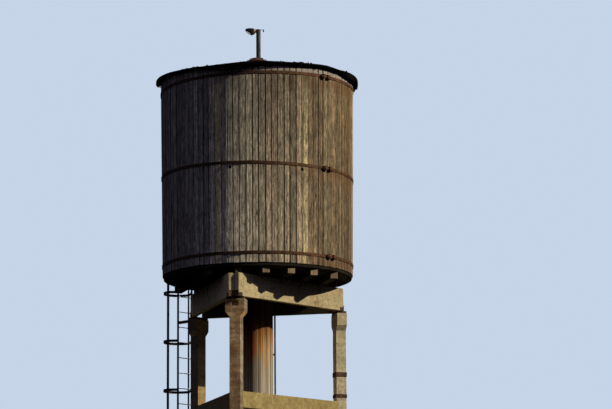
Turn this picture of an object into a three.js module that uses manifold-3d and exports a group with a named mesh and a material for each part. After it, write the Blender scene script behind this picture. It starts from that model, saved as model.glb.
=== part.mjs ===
// Timber-clad round water tank on three precast concrete columns.
// Millimetres, +Z up. The ground is z = 0 and the tank's axis is the Z axis.
// Columns stand at 270 (front), 30 (right) and 150 (left) degrees round the axis.

import * as THREE from "three";
import Module from "manifold-3d";
import { mergeVertices } from "three/addons/utils/BufferGeometryUtils.js";

const wasm = await Module();
wasm.setup();

// Clearance between neighbours that touch on the real tower
const GAP = 0.3;

// Columns
const COLUMN_RADIUS = 1623;
const COLUMN_WIDTH = 210;
const COLUMN_DEPTH = 200;
const HEAD_WIDTH = 374;
const HEAD_TOP = 8344;
const HEAD_BLOCK = 230;
const HEAD_TAPER = 100;
const NOTCH = { width: 130, height: 100, depth: 55, below_top: 32 };
const COLUMNS = [
  { name: "front", azimuth: 270 },
  { name: "right", azimuth: 30 },
  { name: "left", azimuth: 150 },
];

// Steel straps round the right column
const COLLARS = [
  { name: "collar_upper", middle: 7172, height: 88 },
  { name: "collar_lower", middle: 6760, height: 68 },
];
const COLLAR_THICKNESS = 9;

// Top beams, their bearing plates and the ring beams between the columns
const BEAM_SOFFIT = 8389;
const BEAM_TOP = 8820;
const BEAM_THICKNESS = 110;
const BEAM_MIDDLE = 930;
const BEAM_REACH = { corner: 1514, side: 1345 };
const BEARING = { width: 344, depth: 190 };
const RING_TOPS = { upper: 6652, lower: 3330 };
const RING_DEPTH = 300;
const RING_THICKNESS = 120;
const SIDES = [
  { name: "front_right", azimuth: 330, from: -BEAM_REACH.corner, to: BEAM_REACH.side },
  { name: "front_left", azimuth: 210, from: -BEAM_REACH.side, to: BEAM_REACH.corner },
  { name: "back", azimuth: 90, from: -BEAM_REACH.side, to: BEAM_REACH.side },
];

// Joists and deck
const JOIST_WIDTH = 142;
const JOIST_TOP = 8950;
const JOIST_AZIMUTH = 30;
const JOIST_SPACING = 476;
const JOIST_SHIFT = -80;
const JOIST_COUNT = 6;
const JOIST_CIRCLE = 1740;
const DECK_RADIUS = 1800;
const TANK_BOTTOM = 9000;

// Tank wall: one flat for each board
const TANK_TOP = 12785;
const WALL_RADIUS_BOTTOM = 1820;
const WALL_RADIUS_TOP = 1864;
const WALL_THICKNESS = 45;
const BOARD_COUNT = 96;
const WALL_SEGMENTS = 6;

// Steel hoops: the tilt lowers the side at HOOP_TILT_AZIMUTH
const HOOPS = [
  { name: "hoop_lower", middle: 9190, tilt: 0, lug_azimuth: 332.6 },
  { name: "hoop_middle", middle: 10876, tilt: 1.0, lug_azimuth: 329.4 },
  { name: "hoop_upper", middle: 12587, tilt: -1.0, lug_azimuth: 327.9 },
];
const HOOP_TILT_AZIMUTH = 14;
const HOOP_HEIGHT = 56;
const HOOP_THICKNESS = 6;
const HOOP_SLACK = 0.9;
const HOOP_TILT_SLACK = 0.9;
const LUG = { width: 46, height: 62, depth: 48, spacing: 132 };
const LUG_BOLT_RADIUS = 9;

// Roof
const ROOF_APEX = 13280;
const ROOF_PITCH = 0.245;
const ROOF_RADIUS = 1950;
const ROOF_SEAT_RADIUS = 1790;
const ROOF_INNER_APEX = 13215;
const SKIRT_BOTTOM = 12615;
const SKIRT_THICKNESS = 12;
const CAP_RADIUS = 195;
const CAP_TOP = 13300;

// Lamp
const LAMP_AZIMUTH = 194;
const POST_SHIFT = -30;
const POST_RADIUS = 43;
const POST_TOP = 13885;
const POST_FLANGE = { radius: 85, height: 8 };
const LAMP_TOP = 13900;
const LAMP = { length: 262, width: 130, arm: 68, arm_depth: 48, belly: 140, belly_depth: 112 };
const LAMP_NOSE = { start: 250, depth: 38 };
const LENS = { length: 90, width: 78, height: 14, middle: 190 };
const SENSOR = { reach: 99, rod: 5, radius: 12, height: 40 };

// Board-lagged riser, one flat for each board, and overflow pipe
const RISER_RADIUS = 290;
const RISER_BOARDS = 22;
const PIPE_RADIUS = 17;
const PIPE_AZIMUTH = 14;
const PIPE_DISTANCE = 322;
const PIPE_STRAPS = [1500, 4500, 7500];

// Ladder, safety cage and brackets
const LADDER_AZIMUTH = 150;
const LADDER_RADIUS = 2000;
const LADDER_HALF_WIDTH = 185;
const LADDER_TOP = 13350;
const STRINGER = { depth: 45, width: 12 };
const RUNG_RADIUS = 9;
const RUNG_FIRST = 430;
const RUNG_PITCH = 300;
const RUNG_COUNT = 42;
const CAGE_MIDDLE = 2180;
const CAGE_RADIUS = 290;
const CAGE_FIRST = 2180;
const CAGE_PITCH = 960;
const CAGE_HOOPS = 12;
const CAGE_BAR = { height: 50, width: 40, thickness: 6 };
const CAGE_SIDE_ANGLE = 88;
const COLUMN_BRACKETS = { bracket_low: 2900, bracket_head: 8310 };
const TANK_BRACKETS = { bracket_wall: 9650, bracket_eave: 12300 };
const BRACKET = { height: 60, plate: 8, arm: 10 };

const radians = THREE.MathUtils.degToRad;

function finish(name, color, roughness, metalness) {
  return () => new THREE.MeshStandardMaterial({ name, color, roughness, metalness });
}

const concrete = finish("concrete", 0xa59a86, 0.92, 0);
const bearingSteel = finish("bearing_steel", 0x7d5238, 0.8, 0.4);
const joistTimber = finish("joist_timber", 0x8c7652, 0.85, 0);
const deckTimber = finish("deck_timber", 0x4a4238, 0.9, 0);
const boardTimber = finish("board_timber", 0x7a6c55, 0.9, 0);
const hoopSteel = finish("hoop_steel", 0x6d5642, 0.75, 0.5);
const roofFelt = finish("roof_felt", 0x121214, 0.8, 0);
const capSheet = finish("cap_sheet", 0x5a2f22, 0.7, 0.4);
const postSteel = finish("post_steel", 0x5d5550, 0.6, 0.6);
const lampHousing = finish("lamp_housing", 0x15171c, 0.5, 0.2);
const lampLens = finish("lamp_lens", 0xc9ccc8, 0.3, 0);
const casingTimber = finish("casing_timber", 0xb0987a, 0.9, 0);
const pipeSteel = finish("pipe_steel", 0x2e2b2a, 0.6, 0.5);
const ladderSteel = finish("ladder_steel", 0x1c1e24, 0.55, 0.6);

const tower = new THREE.Group();

// Group whose +X axis points outward at an azimuth in degrees
function facing(azimuth) {
  const group = new THREE.Group();
  group.rotation.z = radians(azimuth);
  tower.add(group);
  return group;
}

function place(parent, name, geometry, material) {
  const mesh = new THREE.Mesh(geometry, material());
  mesh.name = name;
  parent.add(mesh);
  return mesh;
}

// Box from its middle in plan and its bottom and top heights
function block(x, y, sizeX, sizeY, bottom, top) {
  const geometry = new THREE.BoxGeometry(sizeX, sizeY, top - bottom);
  return geometry.translate(x, y, (bottom + top) / 2);
}

function upright(radius, bottom, top, sides) {
  const geometry = new THREE.CylinderGeometry(radius, radius, top - bottom, sides);
  return geometry.rotateX(Math.PI / 2).translate(0, 0, (bottom + top) / 2);
}

// Solid of revolution round Z from a closed outline of [radius, height] points
function turned(outline, sides) {
  const points = [...outline, outline[0]].map(([radius, z]) => new THREE.Vector2(radius, z));
  return new THREE.LatheGeometry(points, sides).rotateX(Math.PI / 2);
}

function toSolid(geometry) {
  const bare = geometry.clone();
  bare.deleteAttribute("normal");
  bare.deleteAttribute("uv");
  const merged = mergeVertices(bare, 1e-3);
  return new wasm.Manifold(new wasm.Mesh({
    numProp: 3,
    vertProperties: Float32Array.from(merged.attributes.position.array),
    triVerts: Uint32Array.from(merged.index.array),
  }));
}

function toGeometry(solid) {
  const mesh = solid.getMesh();
  const geometry = new THREE.BufferGeometry();
  geometry.setAttribute("position", new THREE.BufferAttribute(mesh.vertProperties, 3));
  geometry.setIndex(new THREE.BufferAttribute(mesh.triVerts, 1));
  geometry.computeVertexNormals();
  return geometry;
}

function fused(geometries) {
  return geometries.map(toSolid).reduce((whole, next) => whole.add(next));
}

function wallRadius(z) {
  const share = (z - TANK_BOTTOM) / (TANK_TOP - TANK_BOTTOM);
  return THREE.MathUtils.lerp(WALL_RADIUS_BOTTOM, WALL_RADIUS_TOP, share);
}

// Column with a head widened along the ring, and a pocket in the head's outer face
function columnGeometry() {
  const half = COLUMN_WIDTH / 2;
  const headHalf = HEAD_WIDTH / 2;
  const flare = HEAD_TOP - HEAD_BLOCK;
  const front = new THREE.Shape([
    new THREE.Vector2(-half, 0),
    new THREE.Vector2(half, 0),
    new THREE.Vector2(half, flare - HEAD_TAPER),
    new THREE.Vector2(headHalf, flare),
    new THREE.Vector2(headHalf, HEAD_TOP),
    new THREE.Vector2(-headHalf, HEAD_TOP),
    new THREE.Vector2(-headHalf, flare),
    new THREE.Vector2(-half, flare - HEAD_TAPER),
  ]);
  const body = new THREE.ExtrudeGeometry(front, { depth: COLUMN_DEPTH, bevelEnabled: false });
  const axes = [new THREE.Vector3(0, 1, 0), new THREE.Vector3(0, 0, 1), new THREE.Vector3(1, 0, 0)];
  body.applyMatrix4(new THREE.Matrix4().makeBasis(...axes));
  body.translate(COLUMN_RADIUS - COLUMN_DEPTH / 2, 0, 0);
  const face = COLUMN_RADIUS + COLUMN_DEPTH / 2;
  const notchTop = HEAD_TOP - NOTCH.below_top;
  const pocket = block(face, 0, 2 * NOTCH.depth, NOTCH.width, notchTop - NOTCH.height, notchTop);
  return toGeometry(toSolid(body).subtract(toSolid(pocket)));
}

function addColumns() {
  for (const { name, azimuth } of COLUMNS) {
    const bay = facing(azimuth);
    place(bay, `column_${name}`, columnGeometry(), concrete);
    const plate = block(COLUMN_RADIUS, 0, BEARING.depth, BEARING.width,
      HEAD_TOP + GAP, BEAM_SOFFIT - GAP);
    place(bay, `bearing_plate_${name}`, plate, bearingSteel);
  }
}

function addCollars() {
  const bay = facing(COLUMNS[1].azimuth);
  const inner = [COLUMN_DEPTH + 2 * GAP, COLUMN_WIDTH + 2 * GAP];
  const outer = inner.map((size) => size + 2 * COLLAR_THICKNESS);
  for (const { name, middle, height } of COLLARS) {
    const band = toSolid(block(COLUMN_RADIUS, 0, ...outer, middle - height / 2, middle + height / 2));
    const hole = toSolid(block(COLUMN_RADIUS, 0, ...inner, middle - height, middle + height));
    place(bay, name, toGeometry(band.subtract(hole)), bearingSteel);
  }
}

// Prism over a sector of the plan, wide enough to cut the whole tank
function sector(azimuth, angle, bottom, top) {
  const reach = 2 * WALL_RADIUS_TOP;
  const side = radians(angle / 2);
  const plan = new THREE.Shape([
    new THREE.Vector2(GAP, 0),
    new THREE.Vector2(GAP + reach * Math.cos(side), -reach * Math.sin(side)),
    new THREE.Vector2(GAP + reach * Math.cos(side), reach * Math.sin(side)),
  ]);
  const prism = new THREE.ExtrudeGeometry(plan, { depth: top - bottom, bevelEnabled: false });
  return toSolid(prism.translate(0, 0, bottom).rotateZ(radians(azimuth)));
}

// Ring beam whose ends are mitred and cut to the faces of the two columns it joins
function ringBeamGeometry(top) {
  const middle = COLUMN_RADIUS / 2;
  const length = COLUMN_RADIUS * Math.sqrt(3);
  let beam = toSolid(block(middle, 0, RING_THICKNESS, length, top - RING_DEPTH, top));
  beam = beam.intersect(sector(0, 120, top - 2 * RING_DEPTH, top + RING_DEPTH));
  for (const turn of [-60, 60]) {
    const shaft = block(COLUMN_RADIUS, 0, COLUMN_DEPTH + 2 * GAP, COLUMN_WIDTH + 2 * GAP,
      top - 2 * RING_DEPTH, top + RING_DEPTH);
    beam = beam.subtract(toSolid(shaft.rotateZ(radians(turn))));
  }
  return toGeometry(beam);
}

function addBeams() {
  for (const { name, azimuth, from, to } of SIDES) {
    const side = facing(azimuth);
    const top = block(BEAM_MIDDLE, (from + to) / 2, BEAM_THICKNESS, to - from,
      BEAM_SOFFIT, BEAM_TOP - GAP);
    place(side, `top_beam_${name}`, top, concrete);
    for (const [level, height] of Object.entries(RING_TOPS)) {
      place(side, `ring_beam_${level}_${name}`, ringBeamGeometry(height), concrete);
    }
  }
}

function addDeck() {
  const joists = facing(JOIST_AZIMUTH);
  for (let i = 0; i < JOIST_COUNT; i += 1) {
    const offset = JOIST_SHIFT + (i - (JOIST_COUNT - 1) / 2) * JOIST_SPACING;
    const length = 2 * Math.sqrt(JOIST_CIRCLE ** 2 - offset ** 2);
    const joist = block(offset, 0, JOIST_WIDTH, length, BEAM_TOP, JOIST_TOP - GAP);
    place(joists, `joist_${i + 1}`, joist, joistTimber);
  }
  const deck = upright(DECK_RADIUS, JOIST_TOP, TANK_BOTTOM - GAP, BOARD_COUNT);
  place(tower, "tank_deck", deck, deckTimber);
}

function addWall() {
  const shell = toSolid(turned([
    [WALL_RADIUS_BOTTOM - WALL_THICKNESS, TANK_BOTTOM],
    [WALL_RADIUS_BOTTOM, TANK_BOTTOM],
    [WALL_RADIUS_TOP, TANK_TOP - GAP],
    [WALL_RADIUS_TOP - WALL_THICKNESS, TANK_TOP - GAP],
  ], BOARD_COUNT));
  const angle = 360 / WALL_SEGMENTS;
  for (let i = 0; i < WALL_SEGMENTS; i += 1) {
    const cut = sector(i * angle, angle, TANK_BOTTOM - 100, TANK_TOP + 100);
    place(tower, `tank_wall_${i + 1}`, toGeometry(shell.intersect(cut)), boardTimber);
  }
}

// Flat hoop, open between two lugs that a bolt draws together
function hoopGeometry(middle, tilt, lugAzimuth) {
  const inside = wallRadius(middle) + HOOP_SLACK + HOOP_TILT_SLACK * Math.abs(tilt);
  const outside = inside + HOOP_THICKNESS;
  const half = HOOP_HEIGHT / 2;
  const band = turned([[inside, -half], [outside, -half], [outside, half], [inside, half]], BOARD_COUNT);
  const mouth = block(inside, 0, LUG.depth * 2, LUG.spacing - LUG.width, -HOOP_HEIGHT, HOOP_HEIGHT);
  const turn = radians(lugAzimuth);
  let hoop = toSolid(band).subtract(toSolid(mouth.rotateZ(turn)));
  const reach = inside + 1 + LUG.depth / 2;
  for (const side of [-1, 1]) {
    const lug = block(reach, side * LUG.spacing / 2, LUG.depth, LUG.width,
      -LUG.height / 2, LUG.height / 2);
    hoop = hoop.add(toSolid(lug.rotateZ(turn)));
  }
  const bolt = new THREE.CylinderGeometry(LUG_BOLT_RADIUS, LUG_BOLT_RADIUS, LUG.spacing + 90, 12);
  bolt.translate(reach + 6, 0, 0).rotateZ(turn);
  const level = toGeometry(hoop.add(toSolid(bolt)));
  const lowSide = radians(HOOP_TILT_AZIMUTH);
  const hinge = new THREE.Vector3(-Math.sin(lowSide), Math.cos(lowSide), 0);
  level.applyMatrix4(new THREE.Matrix4().makeRotationAxis(hinge, radians(tilt)));
  return level.translate(0, 0, middle);
}

function addHoops() {
  for (const { name, middle, tilt, lug_azimuth: lugAzimuth } of HOOPS) {
    place(tower, name, hoopGeometry(middle, tilt, lugAzimuth), hoopSteel);
  }
}

function roofHeight(radius) {
  return ROOF_APEX - ROOF_PITCH * radius;
}

function addRoof() {
  const cone = turned([
    [0, ROOF_INNER_APEX],
    [ROOF_SEAT_RADIUS, TANK_TOP],
    [ROOF_RADIUS, TANK_TOP],
    [ROOF_RADIUS, roofHeight(ROOF_RADIUS)],
    [0, ROOF_APEX],
  ], BOARD_COUNT);
  place(tower, "roof_cone", toGeometry(toSolid(cone)), roofFelt);
  const skirtInside = ROOF_RADIUS + GAP;
  const skirtOutside = skirtInside + SKIRT_THICKNESS;
  const skirt = turned([
    [skirtInside, SKIRT_BOTTOM],
    [skirtOutside, SKIRT_BOTTOM],
    [skirtOutside, roofHeight(ROOF_RADIUS)],
    [skirtInside, roofHeight(ROOF_RADIUS) + 3],
  ], BOARD_COUNT);
  place(tower, "felt_skirt", toGeometry(toSolid(skirt)), roofFelt);
  const cap = turned([
    [0, ROOF_APEX + GAP],
    [CAP_RADIUS, roofHeight(CAP_RADIUS) + GAP],
    [CAP_RADIUS, roofHeight(CAP_RADIUS) + 4],
    [POST_FLANGE.radius - POST_SHIFT, CAP_TOP],
    [0, CAP_TOP],
  ], BOARD_COUNT);
  place(tower, "apex_cap", toGeometry(toSolid(cap)), capSheet);
}

// Post with a foot flange and, on the side away from the lamp, a small light sensor on a rod
function postGeometry() {
  const foot = CAP_TOP + GAP;
  const rodEnd = -SENSOR.reach;
  const rodHeight = POST_TOP - 6;
  const rod = new THREE.CylinderGeometry(SENSOR.rod, SENSOR.rod, SENSOR.reach, 8);
  rod.rotateZ(Math.PI / 2).translate(rodEnd / 2, 0, rodHeight);
  const sensor = upright(SENSOR.radius, rodHeight - SENSOR.height, rodHeight + 6, 12);
  return toGeometry(fused([
    upright(POST_RADIUS, foot, POST_TOP, 20),
    upright(POST_FLANGE.radius, foot, foot + POST_FLANGE.height, 20),
    rod,
    sensor.translate(rodEnd, 0, 0),
  ]));
}

// Lamp housing seen from the side: a shallow arm at the post, a deep belly and a raised nose
function lampSide() {
  const side = new THREE.Shape();
  const armTop = LAMP.arm_depth - LAMP.arm;
  side.moveTo(0, -LAMP.arm);
  side.lineTo(55, -LAMP.arm);
  side.quadraticCurveTo(85, -LAMP.belly_depth, LAMP.belly, -LAMP.belly_depth);
  side.lineTo(LAMP_NOSE.start, -LAMP_NOSE.depth);
  side.quadraticCurveTo(LAMP.length, -14, LAMP_NOSE.start - 16, -6);
  side.quadraticCurveTo(LAMP.belly + 20, 6, 90, -6);
  side.lineTo(0, armTop);
  return side;
}

// Lamp housing seen from above: a narrow arm that widens into an oval
function lampPlan() {
  const half = LAMP.width / 2;
  const plan = new THREE.Shape();
  plan.moveTo(0, -half / 2);
  plan.lineTo(50, -half / 2);
  plan.quadraticCurveTo(80, -half, 150, -half);
  plan.quadraticCurveTo(LAMP.length, -half, LAMP.length, 0);
  plan.quadraticCurveTo(LAMP.length, half, 150, half);
  plan.quadraticCurveTo(80, half, 50, half / 2);
  plan.lineTo(0, half / 2);
  return plan;
}

function lampHousingSolid() {
  const settings = { bevelEnabled: false, curveSegments: 5 };
  const depth = 2 * LAMP.belly_depth;
  const side = new THREE.ExtrudeGeometry(lampSide(), { depth: LAMP.width, ...settings });
  side.translate(0, 0, -LAMP.width / 2).rotateX(Math.PI / 2);
  const plan = new THREE.ExtrudeGeometry(lampPlan(), { depth, ...settings });
  plan.translate(0, 0, -depth * 0.75);
  return toSolid(side).intersect(toSolid(plan));
}

function addLamp() {
  const lamp = facing(LAMP_AZIMUTH);
  const shifted = (geometry) => geometry.translate(POST_SHIFT, 0, 0);
  place(lamp, "lamp_post", shifted(postGeometry()), postSteel);
  const socket = upright(POST_RADIUS + GAP, CAP_TOP, POST_TOP + GAP, 20);
  const housing = lampHousingSolid().translate([0, 0, LAMP_TOP]).subtract(toSolid(socket));
  place(lamp, "lamp_head", shifted(toGeometry(housing)), lampHousing);
  const slope = Math.atan2(LAMP.belly_depth - LAMP_NOSE.depth, LAMP_NOSE.start - LAMP.belly);
  const drop = (LENS.middle - LAMP.belly) * Math.tan(slope) - LAMP.belly_depth;
  const lens = new THREE.BoxGeometry(LENS.length, LENS.width, LENS.height);
  lens.translate(0, 0, -LENS.height / 2 - GAP).rotateY(-slope);
  lens.translate(LENS.middle, 0, LAMP_TOP + drop);
  place(lamp, "lamp_lens", shifted(lens), lampLens);
}

function addRiser() {
  place(tower, "riser", upright(RISER_RADIUS, 0, BEAM_TOP - GAP, RISER_BOARDS), casingTimber);
  const side = facing(PIPE_AZIMUTH);
  let pipe = toSolid(upright(PIPE_RADIUS, 0, BEAM_TOP - GAP, 16).translate(PIPE_DISTANCE, 0, 0));
  for (const height of PIPE_STRAPS) {
    const strap = block(PIPE_DISTANCE - 20, 0, 50, 60, height, height + 30);
    pipe = pipe.add(toSolid(strap));
  }
  const wall = upright(RISER_RADIUS + GAP, -10, BEAM_TOP + 10, RISER_BOARDS);
  wall.rotateZ(radians(-PIPE_AZIMUTH));
  place(side, "overflow_pipe", toGeometry(pipe.subtract(toSolid(wall))), pipeSteel);
}

function ladderGeometry() {
  const stringers = [-1, 1].map((side) => block(LADDER_RADIUS, side * LADDER_HALF_WIDTH,
    STRINGER.depth, STRINGER.width, 0, LADDER_TOP));
  const rungs = Array.from({ length: RUNG_COUNT }, (_, i) => {
    const rung = new THREE.CylinderGeometry(RUNG_RADIUS, RUNG_RADIUS, 2 * LADDER_HALF_WIDTH, 8);
    return rung.translate(LADDER_RADIUS, 0, RUNG_FIRST + i * RUNG_PITCH);
  });
  return toGeometry(fused([...stringers, ...rungs]));
}

// Flat strip of the given thickness along plan points
function strip(points, thickness, height) {
  const edges = points.map((point, i) => {
    const before = points[Math.max(i - 1, 0)];
    const after = points[Math.min(i + 1, points.length - 1)];
    const across = after.clone().sub(before).normalize();
    return new THREE.Vector2(-across.y, across.x).multiplyScalar(thickness / 2);
  });
  const outline = [
    ...points.map((point, i) => point.clone().add(edges[i])),
    ...points.map((point, i) => point.clone().sub(edges[i])).reverse(),
  ];
  return new THREE.ExtrudeGeometry(new THREE.Shape(outline), { depth: height, bevelEnabled: false });
}

function cageArc(from, to, steps) {
  return Array.from({ length: steps + 1 }, (_, i) => {
    const angle = radians(THREE.MathUtils.lerp(from, to, i / steps));
    return new THREE.Vector2(CAGE_MIDDLE + CAGE_RADIUS * Math.cos(angle), CAGE_RADIUS * Math.sin(angle));
  });
}

// Upright cage bar with its share of every cage hoop
function cagePanel(points, barAngle) {
  const levels = Array.from({ length: CAGE_HOOPS }, (_, i) => CAGE_FIRST + i * CAGE_PITCH);
  const hoops = levels.map((level) =>
    strip(points, CAGE_BAR.thickness, CAGE_BAR.height).translate(0, 0, level));
  const inset = CAGE_RADIUS - CAGE_BAR.thickness + 1;
  const bar = block(inset, 0, CAGE_BAR.thickness, CAGE_BAR.width, CAGE_FIRST - 30,
    levels[levels.length - 1] + CAGE_BAR.height + 30);
  bar.rotateZ(radians(barAngle)).translate(CAGE_MIDDLE, 0, 0);
  return toGeometry(fused([...hoops, bar]));
}

function addCage(parent) {
  const seam = radians(45);
  const seamGap = THREE.MathUtils.radToDeg(GAP / CAGE_RADIUS);
  const legSide = LADDER_HALF_WIDTH + STRINGER.width / 2 + CAGE_BAR.thickness / 2 + GAP;
  const leg = [
    new THREE.Vector2(LADDER_RADIUS - STRINGER.depth / 3, legSide),
    new THREE.Vector2(LADDER_RADIUS + STRINGER.depth, legSide),
  ];
  const back = cageArc(-45 + seamGap, 45 - seamGap, 8);
  const far = [...leg, ...cageArc(CAGE_SIDE_ANGLE + 4, THREE.MathUtils.radToDeg(seam) + seamGap, 5)];
  const near = far.map((point) => new THREE.Vector2(point.x, -point.y)).reverse();
  place(parent, "cage_back", cagePanel(back, 0), ladderSteel);
  place(parent, "cage_side_1", cagePanel(near, -CAGE_SIDE_ANGLE), ladderSteel);
  place(parent, "cage_side_2", cagePanel(far, CAGE_SIDE_ANGLE), ladderSteel);
}

// Two arms to the stringers, joined by a cross plate
function bracketParts(from, plateAt, height) {
  const reach = LADDER_RADIUS - STRINGER.depth / 2 - GAP;
  const bottom = height - BRACKET.height / 2;
  const top = height + BRACKET.height / 2;
  const arms = [-1, 1].map((side) => block((from + reach) / 2, side * LADDER_HALF_WIDTH,
    reach - from, BRACKET.arm, bottom, top));
  const plate = block(plateAt + BRACKET.plate / 2, 0, BRACKET.plate,
    2 * LADDER_HALF_WIDTH + BRACKET.arm, bottom, top);
  return fused([...arms, plate]);
}

function addBrackets(parent) {
  const face = COLUMN_RADIUS + COLUMN_DEPTH / 2 + GAP;
  for (const [name, height] of Object.entries(COLUMN_BRACKETS)) {
    place(parent, name, toGeometry(bracketParts(face, face, height)), ladderSteel);
  }
  const wall = toSolid(turned([
    [0, TANK_BOTTOM],
    [WALL_RADIUS_BOTTOM + GAP, TANK_BOTTOM],
    [WALL_RADIUS_TOP + GAP, TANK_TOP],
    [0, TANK_TOP],
  ], BOARD_COUNT).rotateZ(radians(-LADDER_AZIMUTH)));
  for (const [name, height] of Object.entries(TANK_BRACKETS)) {
    const arms = bracketParts(wallRadius(height) - 30, LADDER_RADIUS - 70, height);
    place(parent, name, toGeometry(arms.subtract(wall)), ladderSteel);
  }
}

function addLadder() {
  const climb = facing(LADDER_AZIMUTH);
  place(climb, "ladder", ladderGeometry(), ladderSteel);
  addCage(climb);
  addBrackets(climb);
}

addColumns();
addCollars();
addBeams();
addDeck();
addWall();
addHoops();
addRoof();
addLamp();
addRiser();
addLadder();

export default tower;
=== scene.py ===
"""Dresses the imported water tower: boards, hoops, felt, concrete frame, riser, ladder and lamp.

Every length is in metres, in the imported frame: the tank's axis is the Z axis, the ground is z = 0,
and azimuths are degrees from +X towards +Y. Sub-assemblies are built from the ground upwards.
"""

import logging
import math
import random
from collections.abc import Callable, Iterator, Sequence
from contextlib import contextmanager
from dataclasses import dataclass
from enum import Enum

import bmesh
import bpy
import numpy as np
from mathutils import Matrix, Vector


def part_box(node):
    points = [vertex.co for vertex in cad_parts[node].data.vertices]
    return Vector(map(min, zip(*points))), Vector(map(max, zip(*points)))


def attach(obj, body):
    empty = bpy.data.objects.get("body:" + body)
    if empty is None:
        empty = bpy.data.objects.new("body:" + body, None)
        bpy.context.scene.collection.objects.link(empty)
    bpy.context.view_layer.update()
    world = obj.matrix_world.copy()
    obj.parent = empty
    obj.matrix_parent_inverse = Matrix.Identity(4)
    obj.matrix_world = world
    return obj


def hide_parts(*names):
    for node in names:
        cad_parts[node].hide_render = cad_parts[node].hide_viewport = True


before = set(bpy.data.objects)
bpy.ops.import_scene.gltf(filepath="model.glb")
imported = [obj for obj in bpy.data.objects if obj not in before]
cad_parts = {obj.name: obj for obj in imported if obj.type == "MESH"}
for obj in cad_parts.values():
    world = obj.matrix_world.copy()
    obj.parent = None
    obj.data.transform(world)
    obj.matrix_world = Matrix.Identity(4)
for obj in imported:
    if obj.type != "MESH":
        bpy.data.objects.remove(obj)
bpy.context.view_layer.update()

logging.basicConfig(level=logging.INFO, format="%(message)s")
log = logging.getLogger("water_tower")

Colour = tuple[float, float, float]
Triple = tuple[float, float, float]
Pair = tuple[float, float]
# The range of a value and the two results that it is spread over
Span = tuple[float, float, float, float]
# Places from 0 to 1 and the colour at each
Stops = tuple[tuple[float, Colour], ...]
Object = bpy.types.Object
Node = bpy.types.Node
Tree = bpy.types.NodeTree
Socket = bpy.types.NodeSocket
Feed = Socket | float | Sequence[float]

BODY = "root"
BOARD_UV = "boards"


class Slot(Enum):
    """The record's material slots."""

    CONCRETE = "concrete"
    BEARING = "bearing_steel"
    JOIST = "joist_timber"
    DECK = "deck_timber"
    BOARDS = "board_timber"
    HOOP = "hoop_steel"
    FELT = "roof_felt"
    CAP = "cap_sheet"
    POST = "post_steel"
    HOUSING = "lamp_housing"
    LENS = "lamp_lens"
    CASING = "casing_timber"
    PIPE = "pipe_steel"
    LADDER = "ladder_steel"


class Axis(Enum):
    """The three directions, as an index into a point."""

    X = 0
    Y = 1
    Z = 2

    def vector(self) -> Vector:
        """Returns the unit vector along this axis."""
        return Vector([1.0 if n == self.value else 0.0 for n in range(3)])


# Node wiring


@dataclass(frozen=True)
class Clouds:
    """A cloudy pattern: its scale, or its scale along each axis, its detail and roughness."""

    scale: float | Triple
    detail: float
    roughness: float


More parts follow.
